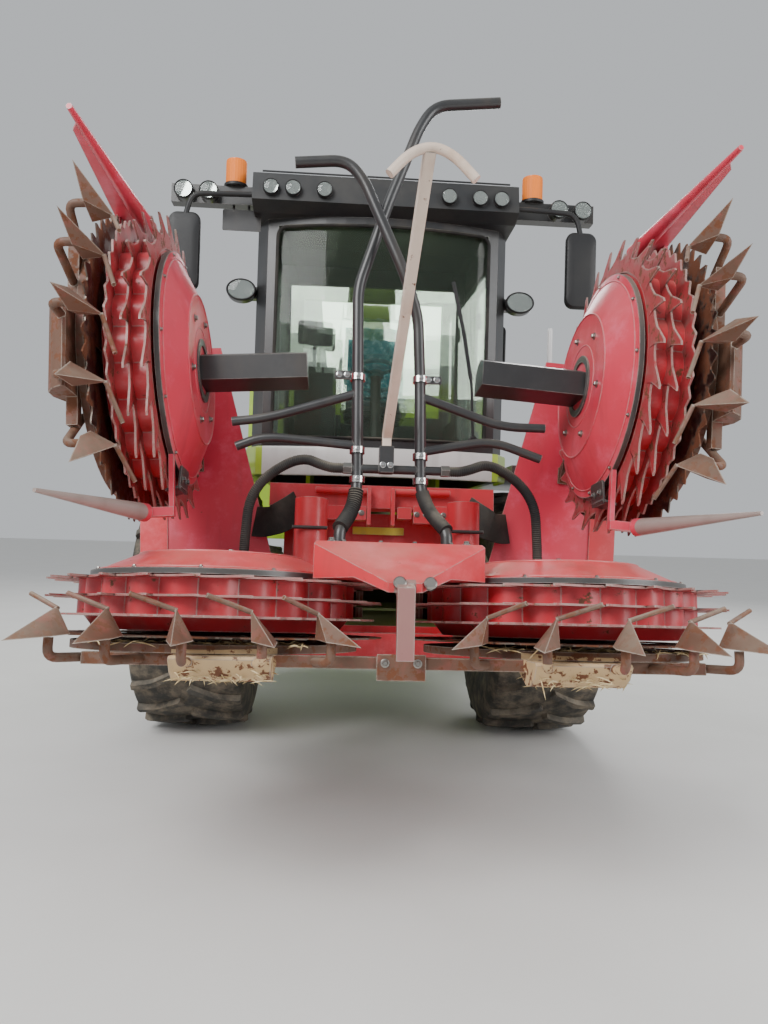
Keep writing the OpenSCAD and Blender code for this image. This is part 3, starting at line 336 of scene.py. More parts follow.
def inside_box(tree, low, high):
    """1 inside a box of Object coordinates, else 0: the largest of |place - middle| - half is below 0."""
    low, high = np.asarray(low, float), np.asarray(high, float)
    place = add(tree, "TexCoord").outputs["Object"]
    moved = add(tree, "VectorMath", {0: place, 1: tuple((low + high) / 2)}, operation="SUBTRACT").outputs[0]
    far = add(tree, "VectorMath", {0: moved}, operation="ABSOLUTE").outputs[0]
    past = add(tree, "VectorMath", {0: far, 1: tuple((high - low) / 2)}, operation="SUBTRACT").outputs[0]
    axes = add(tree, "SeparateXYZ", {0: past}).outputs
    largest = maths(tree, "MAXIMUM", maths(tree, "MAXIMUM", axes[0], axes[1]), axes[2])
    return maths(tree, "LESS_THAN", largest, 0.0)


def start_material(name, **principled):
    """An empty material with its Principled shader, whose plain values are given by name."""
    material = bpy.data.materials.new(name)
    material.use_nodes = True
    tree = material.node_tree
    shader = tree.nodes["Principled BSDF"]
    for key, value in principled.items():
        shader.inputs[key.replace("_", " ")].default_value = value
    return material, tree, shader


def mix_colour(tree, factor, first, second):
    """From the first colour to the second as the factor goes from 0 to 1. A tuple is a screen colour."""
    first, second = (linear(*colour) if isinstance(colour, tuple) else colour for colour in (first, second))
    return add(tree, "Mix", {0: factor, 6: first, 7: second}, data_type="RGBA").outputs[2]


def maths(tree, operation, a, b=0.0):
    """One arithmetic step on two numbers."""
    return add(tree, "Math", {0: a, 1: b}, operation=operation).outputs[0]


def noise(tree, scale, detail, rough=0.5):
    """Noise on Object coordinates, about 0.5 on average."""
    place = add(tree, "TexCoord").outputs["Object"]
    return add(tree, "TexNoise",
               {"Vector": place, "Scale": scale, "Detail": detail, "Roughness": rough}).outputs["Fac"]


def wire(tree, shader, **sockets):
    """Leads values that change over the surface to the shader's sockets."""
    for key, value in sockets.items():
        tree.links.new(value, shader.inputs[key.replace("_", " ")])


def raise_by(tree, shader, height, strength, distance):
    """Bends the shader's normal as a surface of this height would."""
    bump = add(tree, "Bump", {"Height": height, "Strength": strength, "Distance": distance})
    wire(tree, shader, Normal=bump.outputs[0])


def fade(tree, value, low, high):
    """0 below low, 1 above high, and smooth between."""
    node = add(tree, "MapRange", {"Value": value, "From Min": low, "From Max": high},
               interpolation_type="SMOOTHSTEP")
    return node.outputs["Result"]


# %% [markdown]
# ## Effects that many finishes share
# Wear on edges, dust on what faces up, grime in soft patches and rain streaks occur all over the
# machine. Each is a node group with named inputs, so that a finish only chooses its strength.


# %% Shared effects
def start_group(name, **inputs):
    """A node group with number inputs, whose defaults are given by name, and one output, the mask."""
    tree = bpy.data.node_groups.new(name, "ShaderNodeTree")
    number = "NodeSocketFloat"
    for key, value in inputs.items():
        socket = tree.interface.new_socket(key.replace("_", " "), in_out="INPUT", socket_type=number)
        socket.default_value = value
    tree.interface.new_socket("Mask", in_out="OUTPUT", socket_type=number)
    return tree, tree.nodes.new("NodeGroupInput").outputs, tree.nodes.new("NodeGroupOutput").inputs


def make_edge_wear():
    """Mask near sharp edges: 1 minus the dot product of the rounded and the true normal, broken by noise."""
    tree, given, result = start_group("edge wear", Radius=0.006, Amount=0.5, Patch_Scale=30.0)
    rounded = add(tree, "Bevel", {"Radius": given["Radius"]}, samples=4)
    true = add(tree, "NewGeometry")
    dot = add(tree, "VectorMath", {0: rounded.outputs[0], 1: true.outputs["Normal"]}, operation="DOT_PRODUCT")
    edge = maths(tree, "SUBTRACT", 1.0, dot.outputs["Value"])
    spots = fade(tree, noise(tree, given["Patch Scale"], 6.0, 0.65), 0.32, 0.62)
    broken = maths(tree, "MULTIPLY", edge, spots)
    strong = maths(tree, "MULTIPLY", broken, maths(tree, "MULTIPLY", given["Amount"], 12.0))
    tree.links.new(add(tree, "Clamp", {0: strong}).outputs[0], result["Mask"])
    return tree


def make_dust():
    """Mask on faces that look up: the normal's Z, faded, times soft noise."""
    tree, given, result = start_group("dust", Amount=0.5, Scale=3.0)
    normal = add(tree, "SeparateXYZ", {0: add(tree, "NewGeometry").outputs["Normal"]}).outputs["Z"]
    up = maths(tree, "ADD", maths(tree, "MULTIPLY", fade(tree, normal, 0.1, 0.95), 0.85), 0.15)
    soft = fade(tree, noise(tree, given["Scale"], 8.0, 0.6), 0.3, 0.75)
    mask = maths(tree, "MULTIPLY", maths(tree, "MULTIPLY", up, soft), given["Amount"])
    tree.links.new(add(tree, "Clamp", {0: mask}).outputs[0], result["Mask"])
    return tree


def make_patches():
    """Mask of soft patches: noise above a threshold, with the threshold set by Amount."""
    tree, given, result = start_group("patches", Amount=0.3, Scale=6.0, Softness=0.1)
    edge = maths(tree, "SUBTRACT", 0.78, maths(tree, "MULTIPLY", given["Amount"], 0.5))
    high = maths(tree, "ADD", edge, given["Softness"])
    tree.links.new(fade(tree, noise(tree, given["Scale"], 9.0, 0.68), edge, high), result["Mask"])
    return tree


def make_streaks():
    """Mask of streaks that run down: noise on coordinates squeezed along Z."""
    tree, given, result = start_group("streaks", Amount=0.4, Scale=14.0)
    place = add(tree, "TexCoord").outputs["Object"]
    squeezed = add(tree, "Mapping", {"Vector": place, "Scale": (1.0, 1.0, 0.07)})
    runs = add(tree, "TexNoise", {"Vector": squeezed.outputs[0], "Scale": given["Scale"], "Detail": 5.0})
    mask = maths(tree, "MULTIPLY", fade(tree, runs.outputs["Fac"], 0.5, 0.72), given["Amount"])
    tree.links.new(mask, result["Mask"])
    return tree


edge_wear, dust, patches, streaks = make_edge_wear(), make_dust(), make_patches(), make_streaks()


def effect(tree, group, **values):
    """Places a shared effect in a material and gives its mask."""
    node = add(tree, "Group", node_tree=group)
    for key, value in values.items():
        node.inputs[key.replace("_", " ")].default_value = value
    return node.outputs["Mask"]


print("shared effects:", [group.name for group in (edge_wear, dust, patches, streaks)])

# %% [markdown]
# ## Paint
# Farm machines are sprayed with thick enamel. Sun takes the depth out of red first, sharp edges go
# to bare metal and then brown, and dust lies on what faces up. One function layers these in the
# order in which they happen: colour, fading, rust spots, worn edges, streaks, dust.


# %% Paint
BARE_STEEL = (150, 146, 140)
RUST = (104, 62, 40)
DUST = (176, 166, 148)
GRIME = (70, 56, 44)
AMBER, SIGNAL_RED = (232, 112, 18), (176, 22, 20)


def paint(name, colour, faded, rough=0.38, coat=0.25, wear=0.5, wear_radius=0.006, rust=0.2,
          dusty=0.4, patch=5.0, metal=BARE_STEEL, zones=()):
    """Enamel that fades in patches, chips at edges to metal, rusts in spots and carries dust. Zones are
    (low, high, colour) boxes in which the piece has another colour."""
    material, tree, shader = start_material(name, Coat_Weight=coat, Coat_Roughness=0.2, IOR=1.5)
    base = mix_colour(tree, effect(tree, patches, Amount=0.62, Scale=patch, Softness=0.3), colour, faded)
    for low, high, other in zones:
        base = mix_colour(tree, inside_box(tree, low, high), base, other)
    rusty = effect(tree, patches, Amount=rust, Scale=18.0, Softness=0.04)
    base = mix_colour(tree, rusty, base, RUST)
    base = mix_colour(tree, effect(tree, streaks, Amount=0.2, Scale=9.0), base, GRIME)
    worn = effect(tree, edge_wear, Radius=wear_radius, Amount=wear, Patch_Scale=26.0)
    base = mix_colour(tree, worn, base, metal)
    dirt = effect(tree, dust, Amount=dusty, Scale=2.6)
    base = mix_colour(tree, dirt, base, DUST)
    roughness = maths(tree, "ADD", maths(tree, "MULTIPLY", maths(tree, "MAXIMUM", rusty, dirt), 0.45), rough)
    wire(tree, shader, Base_Color=base, Roughness=add(tree, "Clamp", {0: roughness}).outputs[0])
    raise_by(tree, shader, noise(tree, 90.0, 2.0), 0.05, 0.002)
    return material


header_red = paint("header red", (206, 40, 52), (222, 88, 96), wear=0.75, rust=0.22, dusty=0.35)
wing_red = paint("wing red", (205, 58, 78), (222, 98, 122), wear=0.6, rust=0.16, dusty=0.3)
drum_red = paint("drum red", (196, 42, 54), (188, 84, 88), wear=1.4, wear_radius=0.01, rust=0.32,
                 dusty=0.3, patch=9.0, metal=(168, 164, 158))
lime = paint("lime enamel", (166, 202, 44), (182, 210, 70), coat=0.6, wear=0.2, rust=0.0, dusty=0.3)
crop_green = paint("crop green", (96, 112, 46), (120, 130, 74), wear=0.6, rust=0.25, dusty=0.5)
axle_green = paint("axle green", (98, 124, 40), (116, 128, 66), wear=0.4, rust=0.2, dusty=0.6)
satin_black = paint("satin black", (30, 31, 33), (44, 45, 47), wear=0.25, rust=0.05, dusty=0.22, rough=0.42)
dark_steel = paint("dark steel", (58, 60, 60), (74, 74, 70), wear=0.5, rust=0.2, dusty=0.5)
post_cream = paint("post cream", (206, 188, 172), (188, 160, 138), wear=0.5, rust=0.3, dusty=0.2)
rim_white = paint("rim white", (198, 197, 188), (176, 172, 158), wear=0.3, rust=0.15, dusty=0.6)
tooth_metal = paint("tooth metal", (158, 48, 54), (132, 104, 98), rough=0.45, coat=0.1, wear=1.7,
                    wear_radius=0.01, rust=0.45, dusty=0.3, patch=14.0, metal=(158, 142, 134))
plate_yellow = paint("plate yellow", (214, 196, 60), (190, 176, 84), wear=0.3, rust=0.05, dusty=0.4)
dome_cream = paint("dome cream", (226, 220, 200), (206, 198, 176), wear=0.1, rust=0.0, dusty=0.3)
band_paint = paint("foot band", (222, 224, 220), (206, 208, 200), coat=0.5, wear=0.1, rust=0.0, dusty=0.25,
                   zones=[((0.76, -1.3, 1.7), (1.0, 0.0, 2.2), (176, 208, 60)),
                          ((-1.0, -1.3, 1.7), (-0.76, 0.0, 2.2), (176, 208, 60))])
deck_paint = paint("deck paint", (58, 60, 60), (74, 74, 70), wear=0.5, rust=0.1, dusty=0.5,
                   zones=[((0.9, -1.5, 1.951), (1.6, -1.2, 3.0), (200, 202, 202))])
base_brown = paint("pan and tip brown", (96, 66, 50), (134, 66, 56), rough=0.6, coat=0.0, wear=1.2,
                   rust=0.5, dusty=0.45, patch=11.0, metal=(158, 146, 134),
                   zones=[((0.455, -3.6, 0.9), (0.825, -3.1, 1.06), (190, 160, 118)),
                          ((-0.825, -3.6, 0.9), (-0.455, -3.1, 1.06), (190, 160, 118))])
hood_red = paint("hood red", (206, 40, 52), (222, 88, 96), wear=0.9, rust=0.25, dusty=0.35,
                 zones=[((-0.04, -3.7, 0.8), (0.04, -3.42, 1.33), (140, 96, 92))])
cover_red = paint("wing cover red", (206, 52, 74), (220, 92, 116), wear=0.8, rust=0.2, dusty=0.3,
                  zones=[((-1.4, -3.6, 1.45), (1.4, -2.93, 1.74), (150, 134, 128))])
lamp_boxes = ((0.99, -1.3, 3.735, 3.95, AMBER), (1.0, 3.64, 1.6, 1.82, SIGNAL_RED),
              (1.0, 3.64, 1.82, 1.95, AMBER))
lamp_zones = [((side * x - 0.09, y, low), (side * x + 0.09, y + 0.2, high), colour)
              for side in (1, -1) for x, y, low, high, colour in lamp_boxes]
lamp_black = paint("lamp black", (22, 23, 25), (34, 35, 37), wear=0.15, rust=0.0, dusty=0.2,
                   zones=lamp_zones)
print("paints:", len(bpy.data.materials))

# %% [markdown]
# ## Metal, rubber, glass and plastic
# Bare steel is scratched along its run, chrome rods are nearly clean, tyres are grey with dried
# mud, and the cab's glass is tinted green.


# %% Metal, rubber, glass and plastic
def bare_metal(name, colour, rough, stained):
    """Scratched metal with brown stains."""
    material, tree, shader = start_material(name, IOR=1.5)
    stains = effect(tree, patches, Amount=stained, Scale=12.0, Softness=0.12)
    wire(tree, shader, Base_Color=mix_colour(tree, stains, colour, RUST),
         Metallic=maths(tree, "SUBTRACT", 1.0, maths(tree, "MULTIPLY", stains, 0.8)),
         Roughness=maths(tree, "ADD", maths(tree, "MULTIPLY", stains, 0.4), rough))
    raise_by(tree, shader, noise(tree, 160.0, 3.0), 0.08, 0.001)
    return material


def rubber(name, colour, muddy):
    """Rubber that is grey with dust, with dried mud in patches."""
    material, tree, shader = start_material(name, IOR=1.45, Specular_IOR_Level=0.35)
    mud = effect(tree, patches, Amount=muddy, Scale=7.0, Softness=0.25)
    dirt = effect(tree, dust, Amount=0.5, Scale=4.0)
    base = mix_colour(tree, mud, colour, (112, 102, 88))
    wire(tree, shader, Base_Color=mix_colour(tree, dirt, base, DUST),
         Roughness=maths(tree, "ADD", maths(tree, "MULTIPLY", mud, 0.15), 0.72))
    raise_by(tree, shader, noise(tree, 60.0, 6.0), 0.25, 0.003)
    return material


def plastic(name, colour, rough, dusty=0.15):
    """Moulded plastic with a fine grain and a little dust."""
    material, tree, shader = start_material(name, IOR=1.46)
    grain = noise(tree, 240.0, 2.0)
    wire(tree, shader, Base_Color=mix_colour(tree, effect(tree, dust, Amount=dusty, Scale=3.0), colour, DUST),
         Roughness=fade(tree, grain, -1.0 + rough, 1.0 + rough))
    raise_by(tree, shader, grain, 0.12, 0.001)
    return material


def tinted_glass(name, colour, smeared, alpha=1.0):
    """Tinted pane with smears. An alpha under 1 lets light pass unbent, so that a cab stays bright."""
    material, tree, shader = start_material(name, Transmission_Weight=0.96, IOR=1.3, Alpha=alpha)
    smears = effect(tree, patches, Amount=smeared, Scale=2.2, Softness=0.5)
    wire(tree, shader, Base_Color=mix_colour(tree, smears, colour, (148, 152, 140)),
         Roughness=maths(tree, "MULTIPLY", smears, 0.08))
    return material


steel = bare_metal("scratched steel", (150, 146, 140), 0.34, 0.45)
bright_steel = bare_metal("bright steel", (196, 196, 194), 0.16, 0.08)
engine_metal = bare_metal("engine metal", (120, 120, 116), 0.5, 0.3)
tyre_rubber = rubber("tyre rubber", (52, 51, 49), 0.75)
hose_rubber = rubber("hose rubber", (24, 25, 27), 0.15)
seal_rubber = rubber("seal rubber", (18, 18, 19), 0.0)
roof_plastic = plastic("roof plastic", (34, 36, 38), 0.5, 0.35)
black_plastic = plastic("black plastic", (22, 23, 25), 0.45)
cab_pane = tinted_glass("cab pane", (186, 210, 184), 0.14, 0.42)
lens_glass = tinted_glass("lens glass", (226, 230, 226), 0.2)
amber = plastic("amber lens", (232, 120, 22), 0.3, 0.1)
bulb_yellow = plastic("bulb", (236, 226, 196), 0.4, 0.0)
mirror_metal = bare_metal("mirror metal", (214, 216, 216), 0.08, 0.03)
saw_steel = bare_metal("saw steel", (112, 104, 96), 0.42, 0.7)


def woven(name, colour, thread):
    """Woven cloth: two fine waves across each other, as colour and as bump, under a little dust."""
    material, tree, shader = start_material(name, IOR=1.45, Roughness=0.9, Sheen_Weight=0.3)
    place = add(tree, "TexCoord").outputs["Object"]
    warp, weft = (add(tree, "TexWave", {"Vector": place, "Scale": 110.0, "Distortion": 0.6},
                      bands_direction=way).outputs["Fac"] for way in "XZ")
    weave = maths(tree, "MULTIPLY", warp, weft)
    base = mix_colour(tree, weave, colour, thread)
    wire(tree, shader, Base_Color=mix_colour(tree, effect(tree, dust, Amount=0.2, Scale=5.0), base, DUST))
    raise_by(tree, shader, weave, 0.3, 0.001)
    return material


def thin_film(name, colour, pale):
    """Crumpled plastic film: glossy, tinted, paler where it is creased."""
    material, tree, shader = start_material(name, IOR=1.46, Transmission_Weight=0.35)
    crease = effect(tree, patches, Amount=0.6, Scale=16.0, Softness=0.2)
    wire(tree, shader, Base_Color=mix_colour(tree, crease, colour, pale),
         Roughness=maths(tree, "ADD", maths(tree, "MULTIPLY", crease, 0.3), 0.12))
    return material


def dry_stalks(name, colour, pale):
    """Dry straw: matt, in two tones by noise."""
    material, tree, shader = start_material(name, IOR=1.4, Roughness=0.85)
    tones = fade(tree, noise(tree, 35.0, 2.0), 0.35, 0.65)
    wire(tree, shader, Base_Color=mix_colour(tree, tones, colour, pale))
    return material


seat_fabric = woven("seat fabric", (52, 58, 62), (84, 92, 96))
blue_film = thin_film("blue film", (58, 150, 168), (150, 206, 214))
straw = dry_stalks("straw", (170, 146, 104), (206, 188, 148))

# %% [markdown]
# ## Finishes on the solids
# Every solid of the frame gets the finish of the real piece. Most take one finish all over; a few
# carry several colours, which their paint sets by place.

# %% Finishes on the solids
FINISHES = (  # a star stands for left and for right
    (lime, "chassis rear_body side_panel_* spout"),
    (crop_green, "chopper_housing spout_base feeder_house"),
    (axle_green, "front_axle rear_axle"),
    (dark_steel, "knuckle_* spout_collar spout_flap"),
    (deck_paint, "platform"),
    (tyre_rubber, "front_tyre_* rear_tyre_*"),
    (rim_white, "front_rim_* rear_rim_*"),
    (satin_black, "cab_frame cab_door lift_barrels push_bars wing_arm_* fold_barrel_*"),
    (roof_plastic, "cab_roof"),
    (cab_pane, "cab_glass door_glass"),
    (black_plastic, "seat controls mirrors"),
    (lamp_black, "lights"),
    (engine_metal, "engine_block"),
    (bright_steel, "lift_rods fold_rod_*"),
    (header_red, "header_frame"),
    (base_brown, "centre_base wing_base_*"),
    (hood_red, "centre_cover"),
    (cover_red, "wing_cover_*"),
    (drum_red, "drum_* wing_drum_*"),
    (steel, "saw_* wing_saw_*"),
    (post_cream, "gauge_post"),
    (hose_rubber, "hose_*"),
)
finish_of = {name.replace("*", side): material for material, names in FINISHES
             for name in names.split() for side in ("left", "right")}


def wear_finish(node, material):
    """Gives a solid of the frame one finish all over."""
    slots = node.material_slots
    for slot in slots:
        slot.material = material
    if not slots:
        node.data.materials.append(material)


for name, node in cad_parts.items():
    wear_finish(node, finish_of[name])
for hose in hoses:
    hose.data.materials.append(hose_rubber)
print("finished solids:", len(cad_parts))

# %% [markdown]
# ## Toothed drums
# Four drums pull the maize in. Each is a lobed steel wall with two rings of hooked teeth that point
# against the turn, and a ring of finer teeth low down. This is the work that gives the header its look,
# so each outline is drawn as one step that repeats round the circle, and a ring is that outline given
# a thickness. The piece takes the place of the frame's plain drum.


# %% Toothed drums
DISC_RADIUS = 0.708
DRUM_RADIUS, POST_RADIUS, DRUM_TOP = 0.555, 0.0601, 0.214
TOOTH_COUNT, TOOTH_DEPTH = 24, 0.09
SAW_COUNT, SAW_DEPTH = 48, 0.046
CENTRE_DRUM_X, WING_DRUM_X, WING_DRUM_Y = 0.75, 2.25, 0.14


def star(count, step):
    """A closed outline of equal steps: each (radius, share of the step) is turned on by the step's number."""
    radius, share = np.array(step, float).T
    angle = ((np.arange(count)[:, None] + share) * 2 * np.pi / count).ravel()
    return np.tile(radius, count)[:, None] * on_circle(angle)


def flat_ring(outline, inner, low, high):
    """A flat ring: inner circle and outline at the low face, then both at the high face."""
    hole = inner * on_circle(np.linspace(0, 2 * np.pi, len(outline), endpoint=False))
    return at_levels((hole, low), (outline, low), (outline, high), (hole, high))


def centre_drum(side):
    """Places for one centre drum: its own axis moved sideways."""
    return lambda points: on_header((np.asarray(points) + [CENTRE_DRUM_X, 0, 0]) * [side, 1, 1])


def wing_drum(side):
    """Places for one wing drum: its own axis moved to where it is with the wing lowered."""
    return lambda points: on_wing(side)(np.asarray(points) + [WING_DRUM_X, WING_DRUM_Y, 0])


DRUM_PLACES = {
    "drum_left": centre_drum(1), "drum_right": centre_drum(-1),
    "wing_drum_left": wing_drum(1), "wing_drum_right": wing_drum(-1),
}
share = np.linspace(0, 1, 8, endpoint=False)
lobes = np.stack([DRUM_RADIUS + 0.004 + 0.026 * np.sin(np.pi * share), share], axis=1)
hook = [(DISC_RADIUS - TOOTH_DEPTH, 0), (DISC_RADIUS - 0.6 * TOOTH_DEPTH, -0.07), (DISC_RADIUS, -0.17),
        (DISC_RADIUS - 0.003, -0.07), (DISC_RADIUS - 0.45 * TOOTH_DEPTH, 0.17),
        (DISC_RADIUS - 0.82 * TOOTH_DEPTH, 0.42), (DISC_RADIUS - TOOTH_DEPTH, 0.75)]
fine = [(DISC_RADIUS - 0.06, 0), (DISC_RADIUS - 0.035, 0.4), (DISC_RADIUS - 0.035, 0.5),
        (DISC_RADIUS - 0.06, 0.9)]
for name, place in DRUM_PLACES.items():
    wall = flat_ring(star(TOOTH_COUNT, lobes), DRUM_RADIUS - 0.006, 0.065, 0.209)
    rings = [flat_ring(star(TOOTH_COUNT, hook), DRUM_RADIUS - 0.004, level, level + 0.008)
             for level in (0.134, 0.205)]
    low_ring = flat_ring(star(2 * TOOTH_COUNT, fine), DRUM_RADIUS - 0.004, 0.061, 0.069)
    core = lathe([(POST_RADIUS, 0.01), (0.515, 0.01), (DRUM_RADIUS, 0.06), (DRUM_RADIUS, DRUM_TOP - 0.008),
                  (POST_RADIUS, DRUM_TOP - 0.008)], (0, 0, 0), columns=72)
    body = make_piece("lobed_" + name, (wall, core), drum_red, name, place, loops=True)
    teeth = make_piece("hooked_rings_" + name, rings + [low_ring], tooth_metal, name, place, loops=True)
    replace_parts(body, name)
    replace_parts(teeth, name)
print("hooked teeth:", 2 * TOOTH_COUNT * len(DRUM_PLACES))

# %% [markdown]
# ## Saw discs
# Under each drum a disc with sharp spikes cuts the stalks. The steel between hub and rim is cut away
# between six spokes, so the disc is a spiked rim, a hub plate and six slabs.

# %% Saw discs
spike = [(DISC_RADIUS - SAW_DEPTH, 0), (DISC_RADIUS, 0.36), (DISC_RADIUS - 0.12 * SAW_DEPTH, 0.48),
         (DISC_RADIUS - SAW_DEPTH, 0.84)]
spoke_angles = np.radians(np.arange(0, 360, 60) + 30)
for name, place in DRUM_PLACES.items():
    saw_name = name.replace("drum", "saw")
    rim_ring = flat_ring(star(SAW_COUNT, spike), 0.54, -0.012, -0.006)
    hub = lathe([(POST_RADIUS, -0.03), (0.3, -0.03), (0.3, -0.006), (POST_RADIUS, -0.006)],
                (0, 0, 0), columns=64)
    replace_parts(make_piece("spiked_" + saw_name, [rim_ring, hub], saw_steel, saw_name, place,
                           loops=True), saw_name)
    spokes = [plate(0.28, 0.13, 0.02, 0.006, (0.42 * math.cos(a), 0.42 * math.sin(a), -0.009),
                   (math.cos(a), math.sin(a), 0), (-math.sin(a), math.cos(a), 0)) for a in spoke_angles]
    spoke_bolts = bolts([(0.27 * math.cos(a), 0.27 * math.sin(a), -0.03) for a in spoke_angles],
                        (0, 0, -1), 0.012)
    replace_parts(make_piece("spokes_" + saw_name, spokes + spoke_bolts, saw_steel, saw_name, place), saw_name)
print("saw spikes:", SAW_COUNT * len(DRUM_PLACES))

# %% [markdown]
# ## Pans, tips and skids
# Under each drum lies a round pan on a square bar, with five pointed tips before it. A tip is a thin
# pyramid that leans to one side, carries a slanting guide rod and stands on a bent foot pipe. Curved
# strippers reach between the rings from behind, and a skid curls up under the bar. The same function
# makes all four, and only the wings add the beam, the hinge and the lug of the fold cylinder.


# %% Pans, tips and skids
PAN_RADIUS, PAN_TOP, PAN_LOW, BAR_Y = 0.6, -0.035, -0.067, -0.56
FRAME_FRONT, FRAME_BACK = 0.86, 1.04
TIP_BASE, TIP_NOSE, TIP_COUNT, TIP_ANGLE = 0.73, 0.968, 5, 19
STRIPPER_LEVELS, STRIPPER_HEIGHT, STRIPPER_RADII = (0.078, 0.15), 0.048, (0.642, 0.608)
CUT_EDGE = 0.002


def cut_plate(outline, low, high, order="xyz"):
    """A plate between two levels, its outline on the first two axes named, drawn in a little at the faces."""
    outline = np.asarray(outline, float)
    inward = outline.mean(axis=0) - outline
    small = outline + inward * CUT_EDGE / np.linalg.norm(inward, axis=1, keepdims=True)
    flat = at_levels((small, low), (outline, low + CUT_EDGE), (outline, high - CUT_EDGE), (small, high))
    return flat[..., [order.index(axis) for axis in "xyz"]]


def box_plate(low, high):
    """A square-cut block between two corners."""
    (x0, y0, z0), (x1, y1, z1) = low, high
    return cut_plate([(x0, y0), (x1, y0), (x1, y1), (x0, y1)], z0, z1)


def turned_about_z(grid, degrees):
    """Points turned about Z: (x cos a - y sin a, x sin a + y cos a)."""
    a = math.radians(degrees)
    turn_matrix = np.array([[math.cos(a), -math.sin(a), 0], [math.sin(a), math.cos(a), 0], [0, 0, 1]])
    return grid @ turn_matrix.T


def tip_grids(out):
    """One tip: five base points shrink to an apex that leans to the side out, with its rod and foot pipe."""
    wide = TIP_BASE + 0.1
    base = np.array([(TIP_NOSE, 0, -0.03), (wide, 0.045, -0.016), (TIP_BASE, 0.02, -0.008),
                     (TIP_BASE, -0.02, -0.008), (wide, -0.045, -0.016)])
    apex = np.array([TIP_BASE + 0.025, out * 0.034, 0.092])
    share = np.array([0, 0.06, 0.5, 0.94, 1.0])[:, None, None]
    body = base + (apex - base) * share
    rod = pipe([apex + [0, -out * 0.004, -0.01], apex + [0.006, out * 0.075, 0.017],
                apex + [0.012, out * 0.155, 0.044]], 0.009)
    foot = pipe(bent_route([(PAN_RADIUS - 0.06, 0, PAN_LOW - 0.022), (TIP_BASE + 0.07, 0, PAN_LOW - 0.022),
                            (TIP_BASE + 0.07, 0, -0.018)], 0.04), 0.017)
    return [body, rod, foot]


def drum_base(back, out):
    """Everything under one drum: pan with rim and neck, post, tips, strippers with their plate, skid."""
    sheet_low, lip = PAN_TOP - 0.012, PAN_RADIUS - 0.012
    pan = [lathe([(0.06, sheet_low), (lip, sheet_low), (lip, PAN_LOW), (PAN_RADIUS, PAN_LOW),
                  (PAN_RADIUS, PAN_TOP), (0.06, PAN_TOP)], (0, 0, 0), columns=72)]
    solids = [box_plate((-0.29, 0.2, PAN_TOP - 0.012), (0.29, back, PAN_TOP)),
              box_plate((-0.29, 0.3, PAN_LOW), (-0.27, back, PAN_TOP)),
              box_plate((0.27, 0.3, PAN_LOW), (0.29, back, PAN_TOP)),
              lathe([(0.06, PAN_TOP - 0.006), (0.06, 0.316)], (0, 0, 0))]
    for index in range(TIP_COUNT):
        angle = (index - TIP_COUNT // 2) * TIP_ANGLE - 90
        solids += [turned_about_z(grid, angle) for grid in tip_grids(out)]
    arc = on_circle(np.radians(np.linspace(168, 108, 9)))
    outer, inner = (radius * arc for radius in STRIPPER_RADII)
    middle = (outer + inner) / 2
    outline = np.vstack([outer, [(-0.34, back - 0.004), (-0.245, back - 0.004)], inner[::-1]])
    core = np.vstack([middle, [(-0.29, back - 0.004)] * 2, middle[::-1]])
    for low in STRIPPER_LEVELS:
        high = low + STRIPPER_HEIGHT
        pan.append(at_levels((outline, low), (outline, high), (core, high), (core, low)))
    solids.append(box_plate((-0.34, back - 0.008, PAN_TOP - 0.006), (-0.245, back, DRUM_TOP - 0.01)))
    skid = [(BAR_Y - 0.13, PAN_LOW - 0.004), (BAR_Y + 0.2, PAN_LOW), (BAR_Y + 0.2, PAN_LOW - 0.012),
            (BAR_Y + 0.09, PAN_LOW - 0.062), (BAR_Y, PAN_LOW - 0.096), (BAR_Y - 0.06, PAN_LOW - 0.092),
            (BAR_Y - 0.11, PAN_LOW - 0.06), (BAR_Y - 0.142, PAN_LOW - 0.014)]
    solids.append(cut_plate(skid, -0.285, 0.065, "yzx"))
    return pan, solids


for name, place in DRUM_PLACES.items():
    centre = name.startswith("drum")
    side_name = name.split("_")[-1]
    body = "header" if centre else "wing_" + side_name
    node = "centre_base" if centre else "wing_base_" + side_name
    rounds, solids = drum_base(FRAME_FRONT if centre else FRAME_FRONT - 0.14, 1 if centre else -1)
    if not centre:
        solids.append(box_plate((-0.4, BAR_Y, PAN_LOW - 0.045), (0.4, BAR_Y + 0.045, PAN_LOW)))
    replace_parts(make_piece("pan_" + name, rounds, base_brown, body, place, loops=True), node)
    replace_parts(make_piece("tips_and_skid_" + name, solids, base_brown, body, place), node)
centre_bar = [box_plate((-1.15, BAR_Y, PAN_LOW - 0.045), (1.15, BAR_Y + 0.045, PAN_LOW)),
              box_plate((-0.09, BAR_Y - 0.008, PAN_LOW - 0.085), (0.09, BAR_Y, PAN_LOW + 0.01))]
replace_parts(make_piece("centre_bar", centre_bar, base_brown, "header"), "centre_base")
bar_bolts = bolts([(x, BAR_Y - 0.009, PAN_LOW - 0.022) for x in (-0.06, 0.06)], (0, -1, 0), 0.011)
bar_bolts += bolts([(x, BAR_Y - 0.001, PAN_LOW - 0.022) for x in (-0.95, -0.55, 0.55, 0.95)],
                   (0, -1, 0), 0.01)
make_piece("centre_bar_bolts", bar_bolts, steel, "header")

